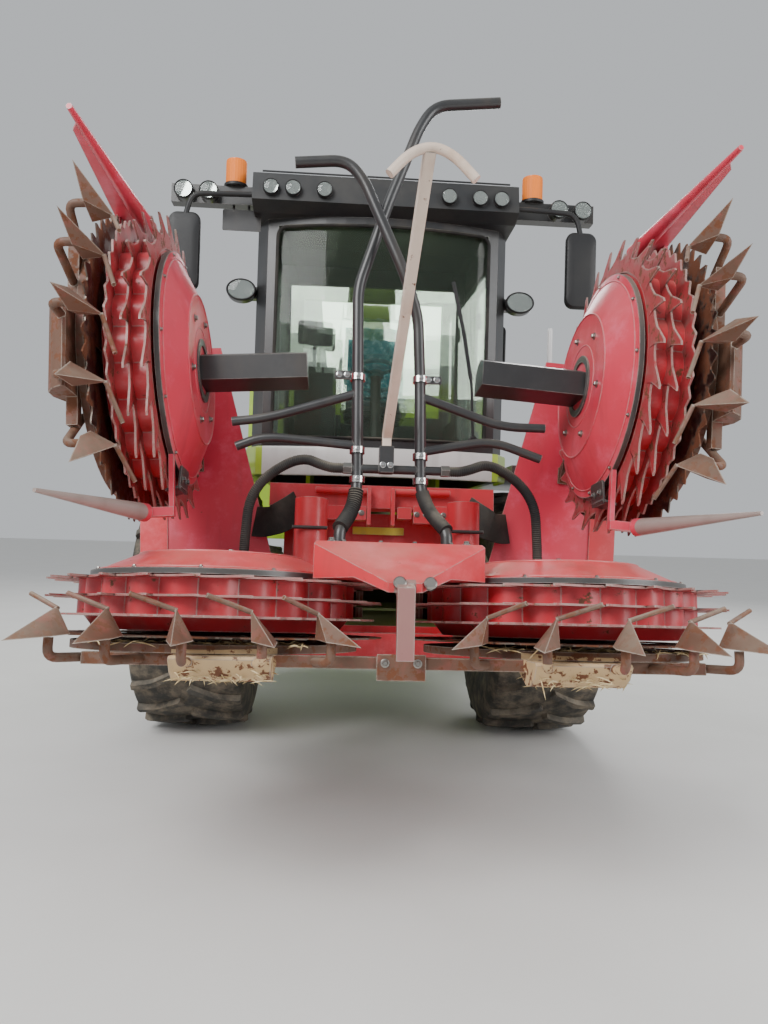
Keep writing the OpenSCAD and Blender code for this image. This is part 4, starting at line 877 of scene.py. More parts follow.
EYE_REACH, EYE_ANGLE = 0.2, math.radians(47)
eye_x, eye_z = FOLD_X + EYE_REACH * math.cos(EYE_ANGLE), FOLD_Z + EYE_REACH * math.sin(EYE_ANGLE)
cheek = np.vstack([[(FOLD_X + 0.27, -0.13), (FOLD_X + 0.08, -0.13)],
                   [eye_x, eye_z] + 0.042 * on_circle(np.radians(np.linspace(190, -10, 9)))])
for side, name in SIDES:
    beam = [box_plate((FOLD_X + 0.065, FRAME_FRONT, -0.15), (2.65, FRAME_BACK, 0)),
            box_plate((FOLD_X, FRAME_FRONT + 0.032, FOLD_Z - 0.11),
                      (FOLD_X + 0.08, FRAME_BACK - 0.032, FOLD_Z - 0.01)),
            box_plate((FOLD_X + 0.08, FRAME_BACK + 0.027, -0.13),
                      (FOLD_X + 0.27, FRAME_BACK + 0.083, eye_z - 0.14)),
            lathe([(0.028, FRAME_FRONT), (0.028, FRAME_BACK)], (FOLD_X, 0, FOLD_Z), (0, 1, 0), 40),
            lathe([(0.055, FRAME_FRONT + 0.032), (0.055, FRAME_BACK - 0.032)], (FOLD_X, 0, FOLD_Z),
                  (0, 1, 0), 40),
            lathe([(0.02, FRAME_BACK), (0.02, FRAME_BACK + 0.096)], (eye_x, 0, eye_z), (0, 1, 0), 24)]
    beam += [cut_plate(cheek, FRAME_BACK + low, FRAME_BACK + high, "xzy")
             for low, high in ((-0.01, 0.028), (0.082, 0.096))]
    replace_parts(make_piece("wing_beam_" + name, beam, header_red, "wing_" + name, on_wing(side)),
                "wing_base_" + name)
print("tips:", TIP_COUNT * len(DRUM_PLACES))

# %% [markdown]
# ## Tyres
# A drive tyre is a round carcass with slanted lugs. The carcass is a section turned about the axle, and
# a lug is an eight-cornered outline wrapped round the tread: across the tread it keeps its width, along
# it turns with the angle, and its top follows the crown. Thin raised hoops mark the sidewall.

# %% Tyres
LUG_HEIGHT = 0.042
WHEELS = {  # the left wheel's centre, then radius, width, the rim's width, the bead's radius, lugs in a row
    "front": ((1.25, 0, 0.925), 0.925, 0.79, 0.66, 0.406, 20),
    "rear": ((1.15, 2.9, 0.656), 0.656, 0.54, 0.46, 0.305, 18),
}


def tyre_section(radius, width, rim_width, seat):
    """Half of a tyre's section: a sidewall that bulges by a sine, a round shoulder and a crowned tread."""
    half, half_rim, shoulder = width / 2, rim_width / 2, radius - 0.06
    t = np.linspace(0, 1, 12)
    side_radius = seat + 0.032 + t * (shoulder - seat - 0.032)
    side_across = half_rim + (half - half_rim) * np.sin(np.pi * (0.1 + 0.65 * t))
    tread = np.linspace(0, 1, 8)[1:]
    tread_across = (half - 0.03) * (1 - tread ** 2)
    tread_radius = shoulder + 0.06 * np.sqrt(1 - (tread_across / half) ** 2)
    return np.vstack([[seat, half_rim], np.stack([side_radius, side_across], 1),
                      np.stack([tread_radius, tread_across], 1)])


def make_tyre(node, centre, radius, width, rim_width, seat, lug_count):
    """A carcass, its lugs and the sidewall hoops in place of one frame tyre."""
    wheel = node.replace("tyre", "wheel")
    section = tyre_section(radius - LUG_HEIGHT, width, rim_width, seat)
    whole = np.vstack([section, section[-2::-1] * [1, -1]])
    carcass = lathe(whole, centre, (1, 0, 0), columns=96)
    rubber_piece = make_piece("carcass_" + node, [carcass], tyre_rubber, wheel, loops=True)
    half = width / 2
    outline = np.array([(0.03, -0.066), (0.11, -0.1), (0.34, -0.042), (0.55, 0.01), (0.92, 0.056),
                        (0.92, 0.104), (0.5, 0.052), (0.26, -0.008)]) * [half, 1]
    turns = 2 * np.pi / lug_count * (np.arange(lug_count)[:, None] + np.array([0.25, -0.25]))
    tops = [(1.0, -LUG_HEIGHT - 0.03), (1.0, -0.009), (0.9, 0.0)]
    middle = outline.mean(axis=0)
    lugs = []
    for column, mirrored in enumerate((1, -1)):
        for turned in turns[:, column]:
            rings = []
            for size, drop in tops:
                across, along = (middle + (outline - middle) * size).T
                reach, angle = radius + drop - 0.03 * (across / half) ** 2, turned + along / radius
                rings.append(points_of(across * mirrored, reach * -np.sin(angle), reach * np.cos(angle)))
            lugs.append(np.stack(rings) + centre)
    tread_piece = make_piece("lugs_" + node, lugs, tyre_rubber, wheel)
    lines = [hoop(line, 0.004, np.asarray(centre) + [flip * (across - 0.0035), 0, 0], (1, 0, 0), 72)
             for line, across in section[[2, 5, 7]] for flip in (1, -1)]
    line_piece = make_piece("sidewall_lines_" + node, lines, tyre_rubber, wheel, loops=True)
    for piece in (rubber_piece, tread_piece, line_piece):
        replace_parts(piece, node)


for side, name in SIDES:
    for end, (centre, *sizes) in WHEELS.items():
        make_tyre(f"{end}_tyre_{name}", np.array(centre) * [side, 1, 1], *sizes)
print("lugs:", 4 * sum(wheel[-1] for wheel in WHEELS.values()))

# %% [markdown]
# ## Wheel nuts and hubs
# Ten nuts hold a front wheel and eight a rear one. Each is a hexagonal head on a round washer, set on
# the wheel's disc, and a domed cap closes the hub.

# %% Wheel nuts and hubs
HUBS = {"front": (0.067, 0.215, 10, 0.1), "rear": (0.057, 0.15, 8, 0.06)}  # face, nut circle, nuts, cap
for side, name in SIDES:
    for end, (face, nut_circle, count, cap) in HUBS.items():
        x, y, z = WHEELS[end][0]
        angle = np.arange(count) * 2 * np.pi / count
        nut_places = points_of(side * x + side * face, y + nut_circle * np.cos(angle),
                               z + nut_circle * np.sin(angle))
        nuts = bolts(nut_places, (side, 0, 0), 0.016)
        dome = lathe([(cap, -0.004), (cap, 0.012), (cap * 0.8, 0.026), (cap * 0.3, 0.032)],
                     (side * x + side * (face + 0.033), y, z), (side, 0, 0))
        make_piece(f"{end}_nuts_{name}", nuts, dark_steel, f"{end}_wheel_{name}")
        make_piece(f"{end}_hub_cap_{name}", [dome], rim_white, f"{end}_wheel_{name}")
print("wheel nuts:", 2 * sum(hub[2] for hub in HUBS.values()))

# %% [markdown]
# ## Push tubes and post
# Bent black tubes stand over the feeder and push tall maize forward. Their routes are few corners with
# round bends. Guard tubes branch off them, a cross tube ties them, and a pale square post with a drooping
# cross tube leans forward from its bracket. All stand on the hood, as the frame's plain ones do.

# %% Push tubes and post
TUBE, GUARD_TUBE, TUBE_Y, BEND = 0.025, 0.02, -0.14, 0.07
SLEEVE_LENGTH, SLEEVE_STEPS = 0.25, 120
right_route = [(-0.24, -0.275, 0.38), (-0.239, -0.272, 0.44), (-0.186, -0.17, 0.535), (-0.17, -0.14, 0.64),
               (-0.18, -0.14, 1.12), (-0.19, -0.14, 1.55), (-0.064, -0.14, 1.964), (0.079, -0.14, 2.367),
               (0.15, -0.14, 2.48), (0.459, -0.14, 2.517)]
left_route = [(0.205, -0.275, 0.38), (0.204, -0.272, 0.44), (0.14, -0.17, 0.535), (0.106, -0.14, 0.64),
              (0.098, -0.14, 1.12), (0.082, -0.165, 1.42), (0.01, -0.205, 1.61), (-0.185, -0.215, 2.045),
              (-0.262, -0.215, 2.125), (-0.491, -0.215, 2.1)]
guards = [[(-0.178, 1.059), (-0.574, 0.931), (-0.722, 0.91)], [(0.1, 1.055), (0.463, 0.931), (0.66, 0.931)],
          [(-0.172, 0.821), (-0.581, 0.85), (-0.7, 0.8)], [(0.104, 0.803), (0.42, 0.866), (0.64, 0.79)]]
tubes = [pipe(bent_route(route, BEND, 8), TUBE, 20) for route in (right_route, left_route)]
tubes += [pipe(bent_route([(x, TUBE_Y, z) for x, z in guard], 0.09, 8), GUARD_TUBE, 16) for guard in guards]
tubes += [pipe([(x, TUBE_Y, 0.72) for x in (-0.23, 0, 0.23)], GUARD_TUBE, 16)]
plates = [plate(0.1, 0.038, 0.008, 0.012, (-0.232, TUBE_Y, 1.141)),
          plate(0.09, 0.036, 0.008, 0.012, (0.15, TUBE_Y, 1.133)),
          plate(0.064, 0.118, 0.006, 0.05, (-0.047, -0.165, 0.756))]
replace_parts(make_piece("bent_push_tubes", tubes + plates, satin_black, "header"), "push_bars")
clamp_places = [(-0.18, 1.13), (0.098, 1.13), (-0.174, 0.8), (0.103, 0.78), (-0.171, 0.67), (0.106, 0.67)]
clamps = [lathe([(0.0265, -0.014), (0.034, -0.014), (0.034, 0.014), (0.0265, 0.014)], (x, TUBE_Y, z))
          for x, z in clamp_places]
clamp_ears = bolts([(x + 0.002, -0.173, z) for x, z in clamp_places], (0, -1, 0), 0.008)
bolt_places = [(x, -0.1465, z) for x, z in ((-0.262, 1.141), (-0.228, 1.141), (0.135, 1.133), (0.172, 1.133))]
bolt_places += [(x, -0.19, 0.73) for x in (-0.062, -0.03)]
clamp_ears += bolts(bolt_places, (0, -1, 0), 0.009)
make_piece("push_tube_clamps", clamps, bright_steel, "header", loops=True)
make_piece("push_tube_bolts", clamp_ears, bright_steel, "header")

post_foot, post_top = np.array([-0.047, -0.166, 0.86]), np.array([0.013, -1.13, 1.575])
lean = unit(post_top - post_foot)
section = rounded_outline(0.04, 0.04, 0.006)
side_way = unit(np.cross(lean, [1.0, 0, 0.1]))
post_grid = np.stack([end + section @ np.stack([np.cross(side_way, lean), side_way])
                      for end in (post_foot, post_top)])
low_post = slab(section, 0.075, (-0.047, -0.166, 0.838), (1, 0, 0), (0, 1, 0))
droop = post_top + [(-0.13, -0.009, -0.097), (-0.066, -0.009, -0.02), (0.006, -0.009, 0.011),
                    (0.078, -0.009, -0.018), (0.152, -0.009, -0.1)]
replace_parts(make_piece("leaning_post", (post_grid, low_post, pipe(bent_route(droop, 0.05, 6), 0.0165)),
                       post_cream, "header"), "gauge_post")

ribbed_path, ribbed_length = resampled(bent_route(right_route[1:5], BEND, 8), SLEEVE_STEPS)
sleeve_end = int(SLEEVE_STEPS * SLEEVE_LENGTH / ribbed_length)
ribs = 0.031 + 0.0025 * np.cos(np.arange(sleeve_end) * np.pi)
smooth_path = resampled(bent_route(left_route[1:5], BEND, 8), SLEEVE_STEPS)[0]
make_piece("ribbed_sleeve", [pipe(ribbed_path[:sleeve_end], ribs, 20)], hose_rubber, "header", crease=60)
make_piece("smooth_sleeve", [pipe(smooth_path[:sleeve_end], 0.0305, 20)], hose_rubber, "header")
hose_nuts = [lathe([(0.026, -0.005), (0.026, 0.03), (0.023, 0.034)], (side * 0.2, TUBE_Y, 0.72),
                   (side, 0, 0), 6) for side in (1, -1)]
hose_nuts += [lathe([(0.028, 0), (0.028, 0.03), (0.024, 0.034)], (side * 0.66, 0, 0.322), (0, 0, 1), 6)
              for side in (1, -1)]
make_piece("hose_nuts", hose_nuts, dark_steel, "header")
print("push tubes:", len(tubes), "clamps:", len(clamps))

# %% [markdown]
# ## Caps and hood
# The caps over the drums are pressed sheet: a raised bead runs round the lid and round the cone's foot,
# a dark worn edge ends the rim, and bolts hold the lid. Hoops and short turned bands give these.

# %% Caps and hood
LID_TOP, RIM_TOP = 0.325, 0.2475
for name, place in DRUM_PLACES.items():
    body = "header" if name.startswith("drum") else name.replace("wing_drum", "wing")
    red = header_red if body == "header" else wing_red
    beads = [hoop(0.349, 0.005, (0, 0, 0.3245), columns=96), hoop(0.507, 0.004, (0, 0, 0.2515), columns=96),
             hoop(0.2, 0.003, (0, 0, LID_TOP), columns=72)]
    edge = [lathe([(0.5395, 0.2225), (0.5425, 0.2225), (0.5425, 0.2445), (0.5395, 0.2445)],
                  (0, 0, 0), columns=96)]
    on_lid = 0.265 * on_circle(np.radians(np.arange(15, 375, 60)))
    on_rim = 0.525 * on_circle(np.radians(np.arange(0, 360, 30)))
    heads = bolts(points_of(*on_lid.T, LID_TOP), (0, 0, 1), 0.012)
    heads += bolts(points_of(*on_rim.T, RIM_TOP), (0, 0, 1), 0.007)
    make_piece("cap_beads_" + name, beads, red, body, place, loops=True)
    make_piece("cap_edge_" + name, edge, dark_steel, body, place, loops=True)
    make_piece("cap_bolts_" + name, heads, steel, body, place)
    if body != "header":
        foot = [lathe([(0.118, 0.3255), (0.15, 0.3255), (0.15, 0.334), (0.118, 0.334)],
                      (0, 0, 0), columns=64)]
        make_piece("arm_foot_" + name, foot, dark_steel, body, place, loops=True)
        bracket = [plate(0.16, 0.11, 0.012, 0.01, (-0.56, -0.16, 0.262), (0, 1, 0), (1, 0, 0.1)),
                   plate(0.16, 0.07, 0.01, 0.01, (-0.605, -0.16, 0.232), (0, 1, 0), (0.2, 0, 1))]
        bracket += bolts([(-0.56, y, 0.267) for y in (-0.2, -0.12)], (0, 0, 1), 0.011)
        make_piece("folded_bracket_" + name, bracket, satin_black, body, place)
lugs = [lathe([(0.024, 0), (0.024, 0.016), (0.018, 0.021)], (x, -0.668, 0.196), (0, -1, 0.3), 24)
        for x in (-0.02, 0.09)]
make_piece("hood_lugs", lugs, steel, "header")
hood_bolts = bolts([(x, -0.385, 0.3725) for x in (-0.27, 0.27)], (0, 0, 1), 0.012)
hood_bolts += bolts([(x, -0.3, 0.3775) for x in (-0.22, -0.07, 0.07, 0.22)], (0, 0, 1), 0.009)
make_piece("hood_bolts", hood_bolts, dark_steel, "header")
print("cap bolts:", len(DRUM_PLACES) * (len(on_lid) + len(on_rim)))

# %% [markdown]
# ## Work between the caps
# Behind the hood the frame carries plates, uprights, a pair of crop cylinders with rods across them, a
# blank yellow plate on the green bar and heavy rubber flaps that close the gaps to the wings.


# %% Work between the caps
def strap(path, width, thickness, across=(0, 0, 1)):
    """A flat bar along a path: a rounded rectangle, wide along across and thin square to the path."""
    path, across = np.asarray(path, float), np.asarray(across, float)
    along = unit(np.gradient(path, axis=0))
    wide = unit(across - (along @ unit(across))[:, None] * along)
    outline = rounded_outline(width, thickness, thickness * 0.45, 3)[None]
    flat_way, thin_way = wide[:, None], np.cross(along, wide)[:, None]
    return path[:, None] + outline[..., :1] * flat_way + outline[..., 1:] * thin_way


rods = [pipe([(side * 0.3, 0.298, 0.51), (side * 0.384, 0.298, 0.51), (side * 0.47, 0.298, 0.51)], 0.009)
        for side in (1, -1)]
make_piece("cylinder_rods", rods, satin_black, "header")
uprights = [plate(0.022, 0.21, 0.004, 0.08, (x, 0.83, 0.7)) for x in (-0.079, 0.056)]
uprights += [plate(0.353, 0.08, 0.006, 0.055, (-0.27, 0.815, 0.66)),
             plate(0.23, 0.1, 0.006, 0.055, (0.285, 0.815, 0.66))]
uprights += [plate(0.08, 0.066, 0.006, 0.06, (0.12, 0.815, 0.665))]
red_rods = [pipe([(a, 0.82, 0.79), (b, 0.82, 0.79)], 0.019) for a, b in ((0.06, 0.38), (-0.38, -0.08))]
make_piece("frame_plates", uprights + red_rods, header_red, "header")
frame_bolts = bolts([(x, 0.787, 0.66) for x in (-0.42, -0.35, -0.16, -0.12, 0.19, 0.24, 0.34, 0.38)],
                    (0, -1, 0), 0.011)
frame_bolts += bolts([(x, 0.859, z) for x in (-0.9, -0.7, 0.7, 0.9) for z in (-0.11, -0.04)],
                     (0, -1, 0), 0.013)
make_piece("frame_bolts", frame_bolts, steel, "header")
blank_plate = plate(0.3, 0.045, 0.006, 0.004, (-0.014, 0.99, 0.585))
make_piece("blank_yellow_plate", [blank_plate], plate_yellow, "header")
t = np.linspace(0, 1, 14)
flaps = [strap(points_of(side * (0.47 + 0.24 * t), 0.83 - 0.1 * np.sin(np.pi * t),
                         0.7 - 0.1 * t - 0.05 * np.sin(np.pi * t)), 0.17, 0.012, (0, 0.15, 1))
         for side in (1, -1)]
make_piece("rubber_flaps", flaps, seal_rubber, "header")
print("straps of", flaps[0].shape, "points")

# %% [markdown]
# ## Lamps and beacons
# A work lamp is a dark bezel round a bright dish behind a clear lens, with a small bulb in front. Turned
# parts at each lamp's place are gathered into one piece per material. The beacons are ribbed amber domes.


# %% Lamps and beacons
def lamp_part(spot, profile, columns=40):
    """A profile in shares of the lamp's radius, turned about its axis, and squashed where it is oval."""
    x, y, z, radius, squash = spot
    turned = lathe(np.array(profile) * [radius, 1], (0, 0, 0), (0, -1, 0), columns)
    return np.array([x, y, z]) + turned * np.array([1, 1, squash])


lamp_spots = [(side * x, -1.158, 3.665, 0.052, 1.0) for side in (1, -1) for x in (0.4, 0.6, 0.74)]
lamp_spots += [(side * x, -1.045, 3.67, 0.062, 1.0) for side in (1, -1) for x in (1.15, 1.31)]
lamp_spots += [(side * 0.95, -0.835, 3.1, 0.1, 0.75) for side in (1, -1)]
bezels, dishes, lenses, bulbs = [], [], [], []
for spot in lamp_spots:
    bezels.append(lamp_part(spot, [(0.84, 0.0), (0.99, 0.0), (1.0, 0.012), (0.93, 0.02), (0.86, 0.018)]))
    dishes.append(lamp_part(spot, [(0.86, 0.014), (0.7, 0.006), (0.4, 0.002), (0.1, 0.001)]))
    lenses.append(lamp_part(spot, [(0.87, 0.0145), (0.6, 0.0185), (0.3, 0.021), (0.05, 0.0215)]))
    bulbs.append(lamp_part(spot, [(0.2, 0.002), (0.2, 0.008), (0.12, 0.012)], 20))
make_piece("lamp_bezels", bezels, black_plastic, loops=True)
make_piece("lamp_dishes", dishes, mirror_metal)
make_piece("lamp_lenses", lenses, lens_glass)
make_piece("lamp_bulbs", bulbs, bulb_yellow)
beacon_profile = np.array([(0.0672, 0.02), (0.0675, 0.14), (0.0668, 0.172), (0.066, 0.1785), (0.03, 0.1795)])
domes, collars = [], []
BEACON_RIBS, RIB_SHARE = 24, 0.012
for side in (1, -1):
    foot = np.array([side * 0.99, -0.955, 3.73])
    smooth = lathe(beacon_profile, foot, columns=96)
    ribs = 1 + RIB_SHARE * np.cos(BEACON_RIBS * np.linspace(0, 2 * np.pi, 96, endpoint=False))
    flat = np.array([1, 1, 0])
    domes.append(smooth + (smooth - foot * flat) * flat * (ribs - 1)[None, :, None])
    collars.append(lathe([(0.068, 0), (0.078, 0.002), (0.078, 0.02), (0.068, 0.022)], foot, columns=48))
make_piece("beacon_domes", domes, amber)
make_piece("beacon_collars", collars, black_plastic, loops=True)
print("lamps:", len(lamp_spots))

# %% [markdown]
# ## Cab
# The cab's front foot is a pale band that turns lime at its ends. Round the windscreen runs a rubber
# seal, a wiper rests on it, blank plates and mirrors hang at its sides, and a cream dome sits on the roof.
# The band and the seal follow the cab's bowed front, y = middle - sqrt(r r - x x).


# %% Cab
BOW_RADIUS, BOW_Y = 2.6, 1.5484


def bow(x, proud=0.0):
    """How far forward the cab's bowed front lies at a place across it, in machine sizes."""
    return BOW_Y - np.sqrt((BOW_RADIUS + proud) ** 2 - np.square(x))


band_x = np.linspace(-0.79, 0.79, 33)
band_front = np.stack([band_x, bow(band_x, 0.017)], axis=1)
band_path = np.vstack([[(-0.868, -0.56), (-0.868, -0.8)], band_front, [(0.868, -0.8), (0.868, -0.56)]])
band = strap(points_of(*band_path.T, 1.945), 0.19, 0.032)
make_piece("cab_foot_band", [band], band_paint)
half_w, low_z, high_z, corner = 0.705, 2.1, 3.492, 0.06
rim_outline = rounded_outline(2 * half_w, high_z - low_z, corner, 8) + [0, (high_z + low_z) / 2]
dense = np.concatenate([a + (b - a) * np.linspace(0, 1, 12, endpoint=False)[:, None]
                        for a, b in zip(rim_outline, np.roll(rim_outline, -1, 0))
                        if np.linalg.norm(b - a) > 0.1] + [rim_outline])
dense = dense[np.argsort(np.arctan2(dense[:, 1] - (high_z + low_z) / 2, dense[:, 0]))]
dense = dense[np.linalg.norm(dense - np.roll(dense, 1, 0), axis=1) > 1e-5]
seal_path = points_of(dense[:, 0], bow(dense[:, 0], 0.003), dense[:, 1])
make_piece("windscreen_seal", [pipe(seal_path, 0.011, 10, closed=True)], seal_rubber, loops=True)
wiper_corners = [(0.62, bow(0.62, 0.03), 2.12), (0.6, bow(0.6, 0.04), 2.5), (0.54, bow(0.54, 0.035), 2.84)]
wiper = [pipe(bent_route(wiper_corners, 0.1), 0.009),
         strap([(x, bow(x, 0.012), z) for x, z in ((0.6, 2.52), (0.54, 2.84), (0.46, 3.16))], 0.026, 0.01,
               (1, 0, 0)),
         lathe([(0.03, -0.03), (0.03, 0.012), (0.02, 0.02)], (0.62, bow(0.62, 0.022), 2.12), (0, -1, 0), 24)]
make_piece("windscreen_wiper", wiper, black_plastic)
side_plate = [plate(0.25, 0.14, 0.01, 0.006, (-0.945, -0.96, 3.52)),
              pipe([(-0.9, -0.956, 3.58), (-0.9, -0.956, 3.625)], 0.008),
              pipe([(-1.0, -0.956, 3.58), (-1.0, -0.956, 3.625)], 0.008)]
make_piece("blank_side_plate", side_plate, satin_black)
head_outline = rounded_outline(0.2, 0.5, 0.055, 8)
head_levels = ((0.96, -1.1), (1.0, -1.105), (1.0, -1.126), (0.95, -1.141), (0.82, -1.148), (0.5, -1.15))
mirror_parts = []
for side in (1, -1):
    rings = [np.insert(head_outline * share + [side * 1.28, 3.24], 1, y, axis=1) for share, y in head_levels]
    arm_corners = [(side * 0.865, -1.085, 3.64), (side * 0.94, -1.085, 3.64), (side * 1.24, -1.125, 3.61),
                   (side * 1.28, -1.125, 3.45)]
    mirror_parts += [np.stack(rings), pipe(bent_route(arm_corners, 0.07), 0.017)]
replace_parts(make_piece("rounded_mirrors", mirror_parts, black_plastic), "mirrors")
panes = [slab(rounded_outline(0.17, height, 0.03, 8), 0.004, (side * 1.28, -1.098, z), (-1, 0, 0), (0, 0, 1))
         for side in (1, -1) for height, z in ((0.32, 3.19), (0.1, 3.42))]
make_piece("mirror_panes", panes, mirror_metal)
dome = lathe([(0.096, 0), (0.1, 0.012), (0.096, 0.05), (0.08, 0.068), (0.04, 0.078)],
             (0.015, -0.75, 3.828), columns=48)
make_piece("roof_dome", [dome], dome_cream)
handle = [pipe(bent_route([(0.85, -0.63, 2.72), (0.895, -0.63, 2.72), (0.895, -0.63, 2.98),
                           (0.85, -0.63, 2.98)], 0.03), 0.011)]
make_piece("door_handle", handle, black_plastic, "cab_door")
roof_line = strap(points_of(np.linspace(-0.8, 0.8, 9), -1.128, 3.78), 0.012, 0.008)
make_piece("roof_trim", [roof_line], black_plastic)
print("windscreen seal of", len(seal_path), "points")

# %% [markdown]
# ## Driver's seat
# The seat is a padded cushion and back with piping round them, on a pedestal, and a crumpled sheet of
# blue film still lies over it. A cushion is a rounded block whose faces are crowned: powers of sine and
# cosine under 1 give flat faces with full edges, and shallow sewn channels are pressed into its top.

# %% Driver's seat
SEAT_Z = 2.38
FILM_ROWS, FILM_COLUMNS = 60, 90


def powered(value, power):
    """A signed power, which makes a circle's sine and cosine squarer the smaller the power is."""
    return np.sign(value) * np.abs(value) ** power


def cushion(half, middle, tilt=0.0, channels=(-0.11, 0.11)):
    """A crowned closed block: x = a C(v) C(u), y = b C(v) S(u), z = c S(v), where C and S are a cosine and a
    sine to a power under 1. A narrow bell curve of x presses channels into its faces. It tilts about X."""
    v = np.linspace(-np.pi / 2, np.pi / 2, 40)[:, None]
    u = np.linspace(0, 2 * np.pi, 72, endpoint=False)[None]
    x = half[0] * powered(np.cos(v), 0.35) * powered(np.cos(u), 0.4)
    y = half[1] * powered(np.cos(v), 0.35) * powered(np.sin(u), 0.4)
    crown = 1 - 0.22 * ((x / half[0]) ** 4 + (y / half[1]) ** 4) / 2
    sewn = 1 - 0.12 * sum(np.exp(-((x - at) / 0.009) ** 2) for at in channels)
    z = half[2] * powered(np.sin(v), 0.55) * crown * sewn
    cosine, sine = math.cos(tilt), math.sin(tilt)
    return np.stack([x, y * cosine - z * sine, y * sine + z * cosine], axis=-1) + middle


seat_parts = {
    "seat_cushion": cushion((0.255, 0.245, 0.06), (0, -0.01, SEAT_Z + 0.062)),
    "seat_back": cushion((0.245, 0.335, 0.055), (0, 0.25, SEAT_Z + 0.46), math.radians(82)),
}
for name, grid in seat_parts.items():
    pad = make_piece(name, [grid], seat_fabric, crease=60)
    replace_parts(pad, "seat")
pedestal = [plate(0.32, 0.33, 0.03, 0.36, (0, 0.025, 2.195), (1, 0, 0), (0, 1, 0)),
            plate(0.46, 0.44, 0.04, 0.02, (0, -0.01, 2.371), (1, 0, 0), (0, 1, 0))]
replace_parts(make_piece("seat_pedestal", pedestal, black_plastic), "seat")
angle = np.linspace(0, 2 * np.pi, 80, endpoint=False)
piping = points_of(0.256 * powered(np.cos(angle), 0.4), -0.01 + 0.246 * powered(np.sin(angle), 0.4),
                   SEAT_Z + 0.062)
make_piece("seat_piping", [pipe(piping, 0.004, 8, closed=True)], seal_rubber, loops=True)
across, along = np.meshgrid(np.linspace(-0.24, 0.24, FILM_ROWS), np.linspace(0, 1, FILM_COLUMNS),
                            indexing="ij")
fold = 0.006 * np.sin(across * 60 + 5 * np.sin(along * 9))
fold += 0.005 * np.sin(along * 55 + 4 * np.sin(across * 25))
down = np.clip((along - 0.55) / 0.45, 0, 1)
film_y = np.where(along < 0.55, 0.175 - 0.05 * (1 - along), 0.125 - 0.34 * down) - fold
film_z = SEAT_Z + np.where(along < 0.55, 0.76 - 0.6 * along / 0.55, 0.16 - 0.02 * down) + 0.5 * fold
film_points = points_of(across, film_y, film_z)
film_mesh = bpy.data.meshes.new("seat_film")
film_faces = quads(FILM_ROWS, FILM_COLUMNS, 0, False)
film_faces = film_faces.reshape(FILM_ROWS - 1, FILM_COLUMNS, 4)[:, :-1].reshape(-1, 4)
film_mesh.from_pydata(on_base(film_points).reshape(-1, 3).tolist(), [], film_faces.tolist())
film_mesh.shade_smooth()
film_mesh.materials.append(blue_film)
film = new_object("seat_film", film_mesh)
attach(film, "base")
screen = [plate(0.24, 0.17, 0.015, 0.03, (-0.43, -0.42, 2.9), (1, 0.3, 0), (0, 0.1, 1)),
          pipe([(-0.43, -0.4, 2.66), (-0.43, -0.4, 2.84)], 0.014)]
make_piece("console_screen", screen, black_plastic)

# %% [markdown]
# ## Straw
# Chopped maize clings to the skids and the pans. A strand is a thin three-sided sliver, bent a little,
# and a few hundred of them are laid over each skid and pan from one seeded draw of places.

# %% Straw
draw = np.random.default_rng(7)
ON_SKID, ON_PAN = 150, 110
STRAND_RADIUS = 0.0026


def strands(count, low, high):
    """Slivers in a box: start + s * direction with a small bow, as three-sided rings that end thin."""
    start = draw.uniform(low, high, (count, 3))
    way = unit(draw.normal(size=(count, 3)) * [1, 0.8, 0.25])
    size = draw.uniform(0.03, 0.1, count)
    s = np.linspace(-0.5, 0.5, 5)
    middle = start[:, None] + s[None, :, None] * (way * size[:, None])[:, None]
    middle[..., 2] -= 0.006 * (2 * s) ** 2
    angle = np.arange(3) * 2 * np.pi / 3
    ring = np.stack([np.cos(angle), 0 * angle, np.sin(angle)], axis=1)
    thick = STRAND_RADIUS * (1.05 - np.abs(2 * s) ** 3)
    return middle[:, :, None] + thick[None, :, None, None] * ring


for side, name in SIDES:
    skid = strands(ON_SKID, (0.48, -0.69, -0.158), (0.8, -0.46, -0.12))
    pan = strands(ON_PAN, (0.35, -0.6, -0.035), (1.15, -0.3, -0.03))
    make_piece("straw_" + name, np.concatenate([skid, pan]) * [side, 1, 1], straw, "header")
print("strands:", 2 * (ON_SKID + ON_PAN))

# %% [markdown]
# ## Rear body
# The engine cover gets what its real one shows: louvres pressed into the service flaps, handles, a dark
# screen behind the rear opening with bars across it, and two-colour rear lamps.

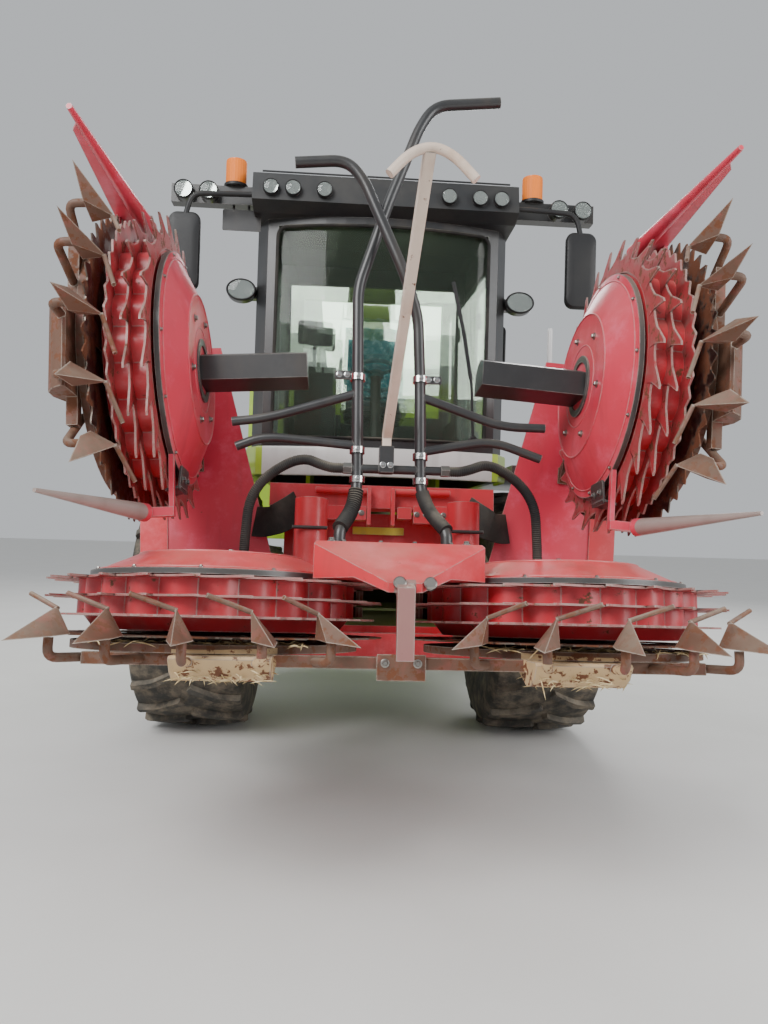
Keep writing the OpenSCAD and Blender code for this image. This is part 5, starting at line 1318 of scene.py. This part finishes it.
# %% Rear body
for side, name in SIDES:
    louvres = [strap(points_of(side * 1.1455, np.linspace(2.05, 3.2, 9), z), 0.03, 0.008)
               for z in np.arange(1.7, 2.25, 0.075)]
    grip = [pipe(bent_route([(side * 1.145, 1.85, 1.62), (side * 1.149, 1.85, 1.62),
                             (side * 1.149, 2.0, 1.62), (side * 1.145, 2.0, 1.62)], 0.01), 0.0035)]
    make_piece("louvres_" + name, louvres, dark_steel, "side_panel_" + name)
    make_piece("flap_grip_" + name, grip, black_plastic, "side_panel_" + name)
backing = [plate(1.84, 0.72, 0.01, 0.01, (0, 3.86, 1.94))]
bars = [strap(points_of(np.linspace(-0.9, 0.9, 5), 3.905, z), 0.028, 0.012)
        for z in np.arange(1.64, 2.26, 0.07)]
bars += [pipe([(x, 3.915, 1.6), (x, 3.915, 2.28)], 0.009) for x in np.linspace(-0.75, 0.75, 7)]
make_piece("rear_screen", backing, dark_steel)
make_piece("rear_bars", bars, satin_black)
rear_lamps = [plate(0.14, 0.27, 0.025, 0.032, (side * 1.01, 3.945, 1.78)) for side in (1, -1)]
make_piece("rear_lamps", rear_lamps, lamp_black)
print("rear bars:", len(bars))

# %% [markdown]
# ## The studio
# A pale floor that runs on to the horizon, a pale sky and three large soft lamps: one from the
# front left and above, one low on the right, one behind that draws the outline.

# %% Studio
FLOOR_HALF = 60.0
floor_mesh = bpy.data.meshes.new("floor")
corners = FLOOR_HALF * np.array([[-1, -1, 0], [1, -1, 0], [1, 1, 0], [-1, 1, 0]], float)
floor_mesh.from_pydata(corners.tolist(), [], [(0, 1, 2, 3)])
floor = new_object("floor", floor_mesh)
floor_material, floor_tree, floor_shader = start_material("pale floor", Roughness=0.75)
floor_tone = mix_colour(floor_tree, noise(floor_tree, 1.5, 8.0), (214, 212, 208), (226, 225, 222))
wire(floor_tree, floor_shader, Base_Color=floor_tone)
floor_mesh.materials.append(floor_material)

world = bpy.data.worlds.new("studio")
world.use_nodes = True
world.node_tree.nodes["Background"].inputs["Color"].default_value = linear(232, 236, 240)
world.node_tree.nodes["Background"].inputs["Strength"].default_value = 0.7
bpy.context.scene.world = world


def soft_lamp(name, place, target, size, power):
    """A square area lamp at a place, turned to a target, in metres and watts."""
    data = bpy.data.lights.new(name, "AREA")
    data.size = size
    data.energy = power
    lamp = new_object(name, data)
    lamp.location = place
    lamp.rotation_euler = (Vector(target) - Vector(place)).to_track_quat("-Z", "Y").to_euler()


soft_lamp("key lamp", (-6.0, -9.5, 8.5), (0, -1.5, 1.5), 6.0, 1500)
soft_lamp("fill lamp", (8.0, -7.0, 4.5), (0, -1, 1.5), 5.0, 600)
soft_lamp("back lamp", (2.0, 10.0, 8.0), (0, 0, 2.0), 6.0, 900)
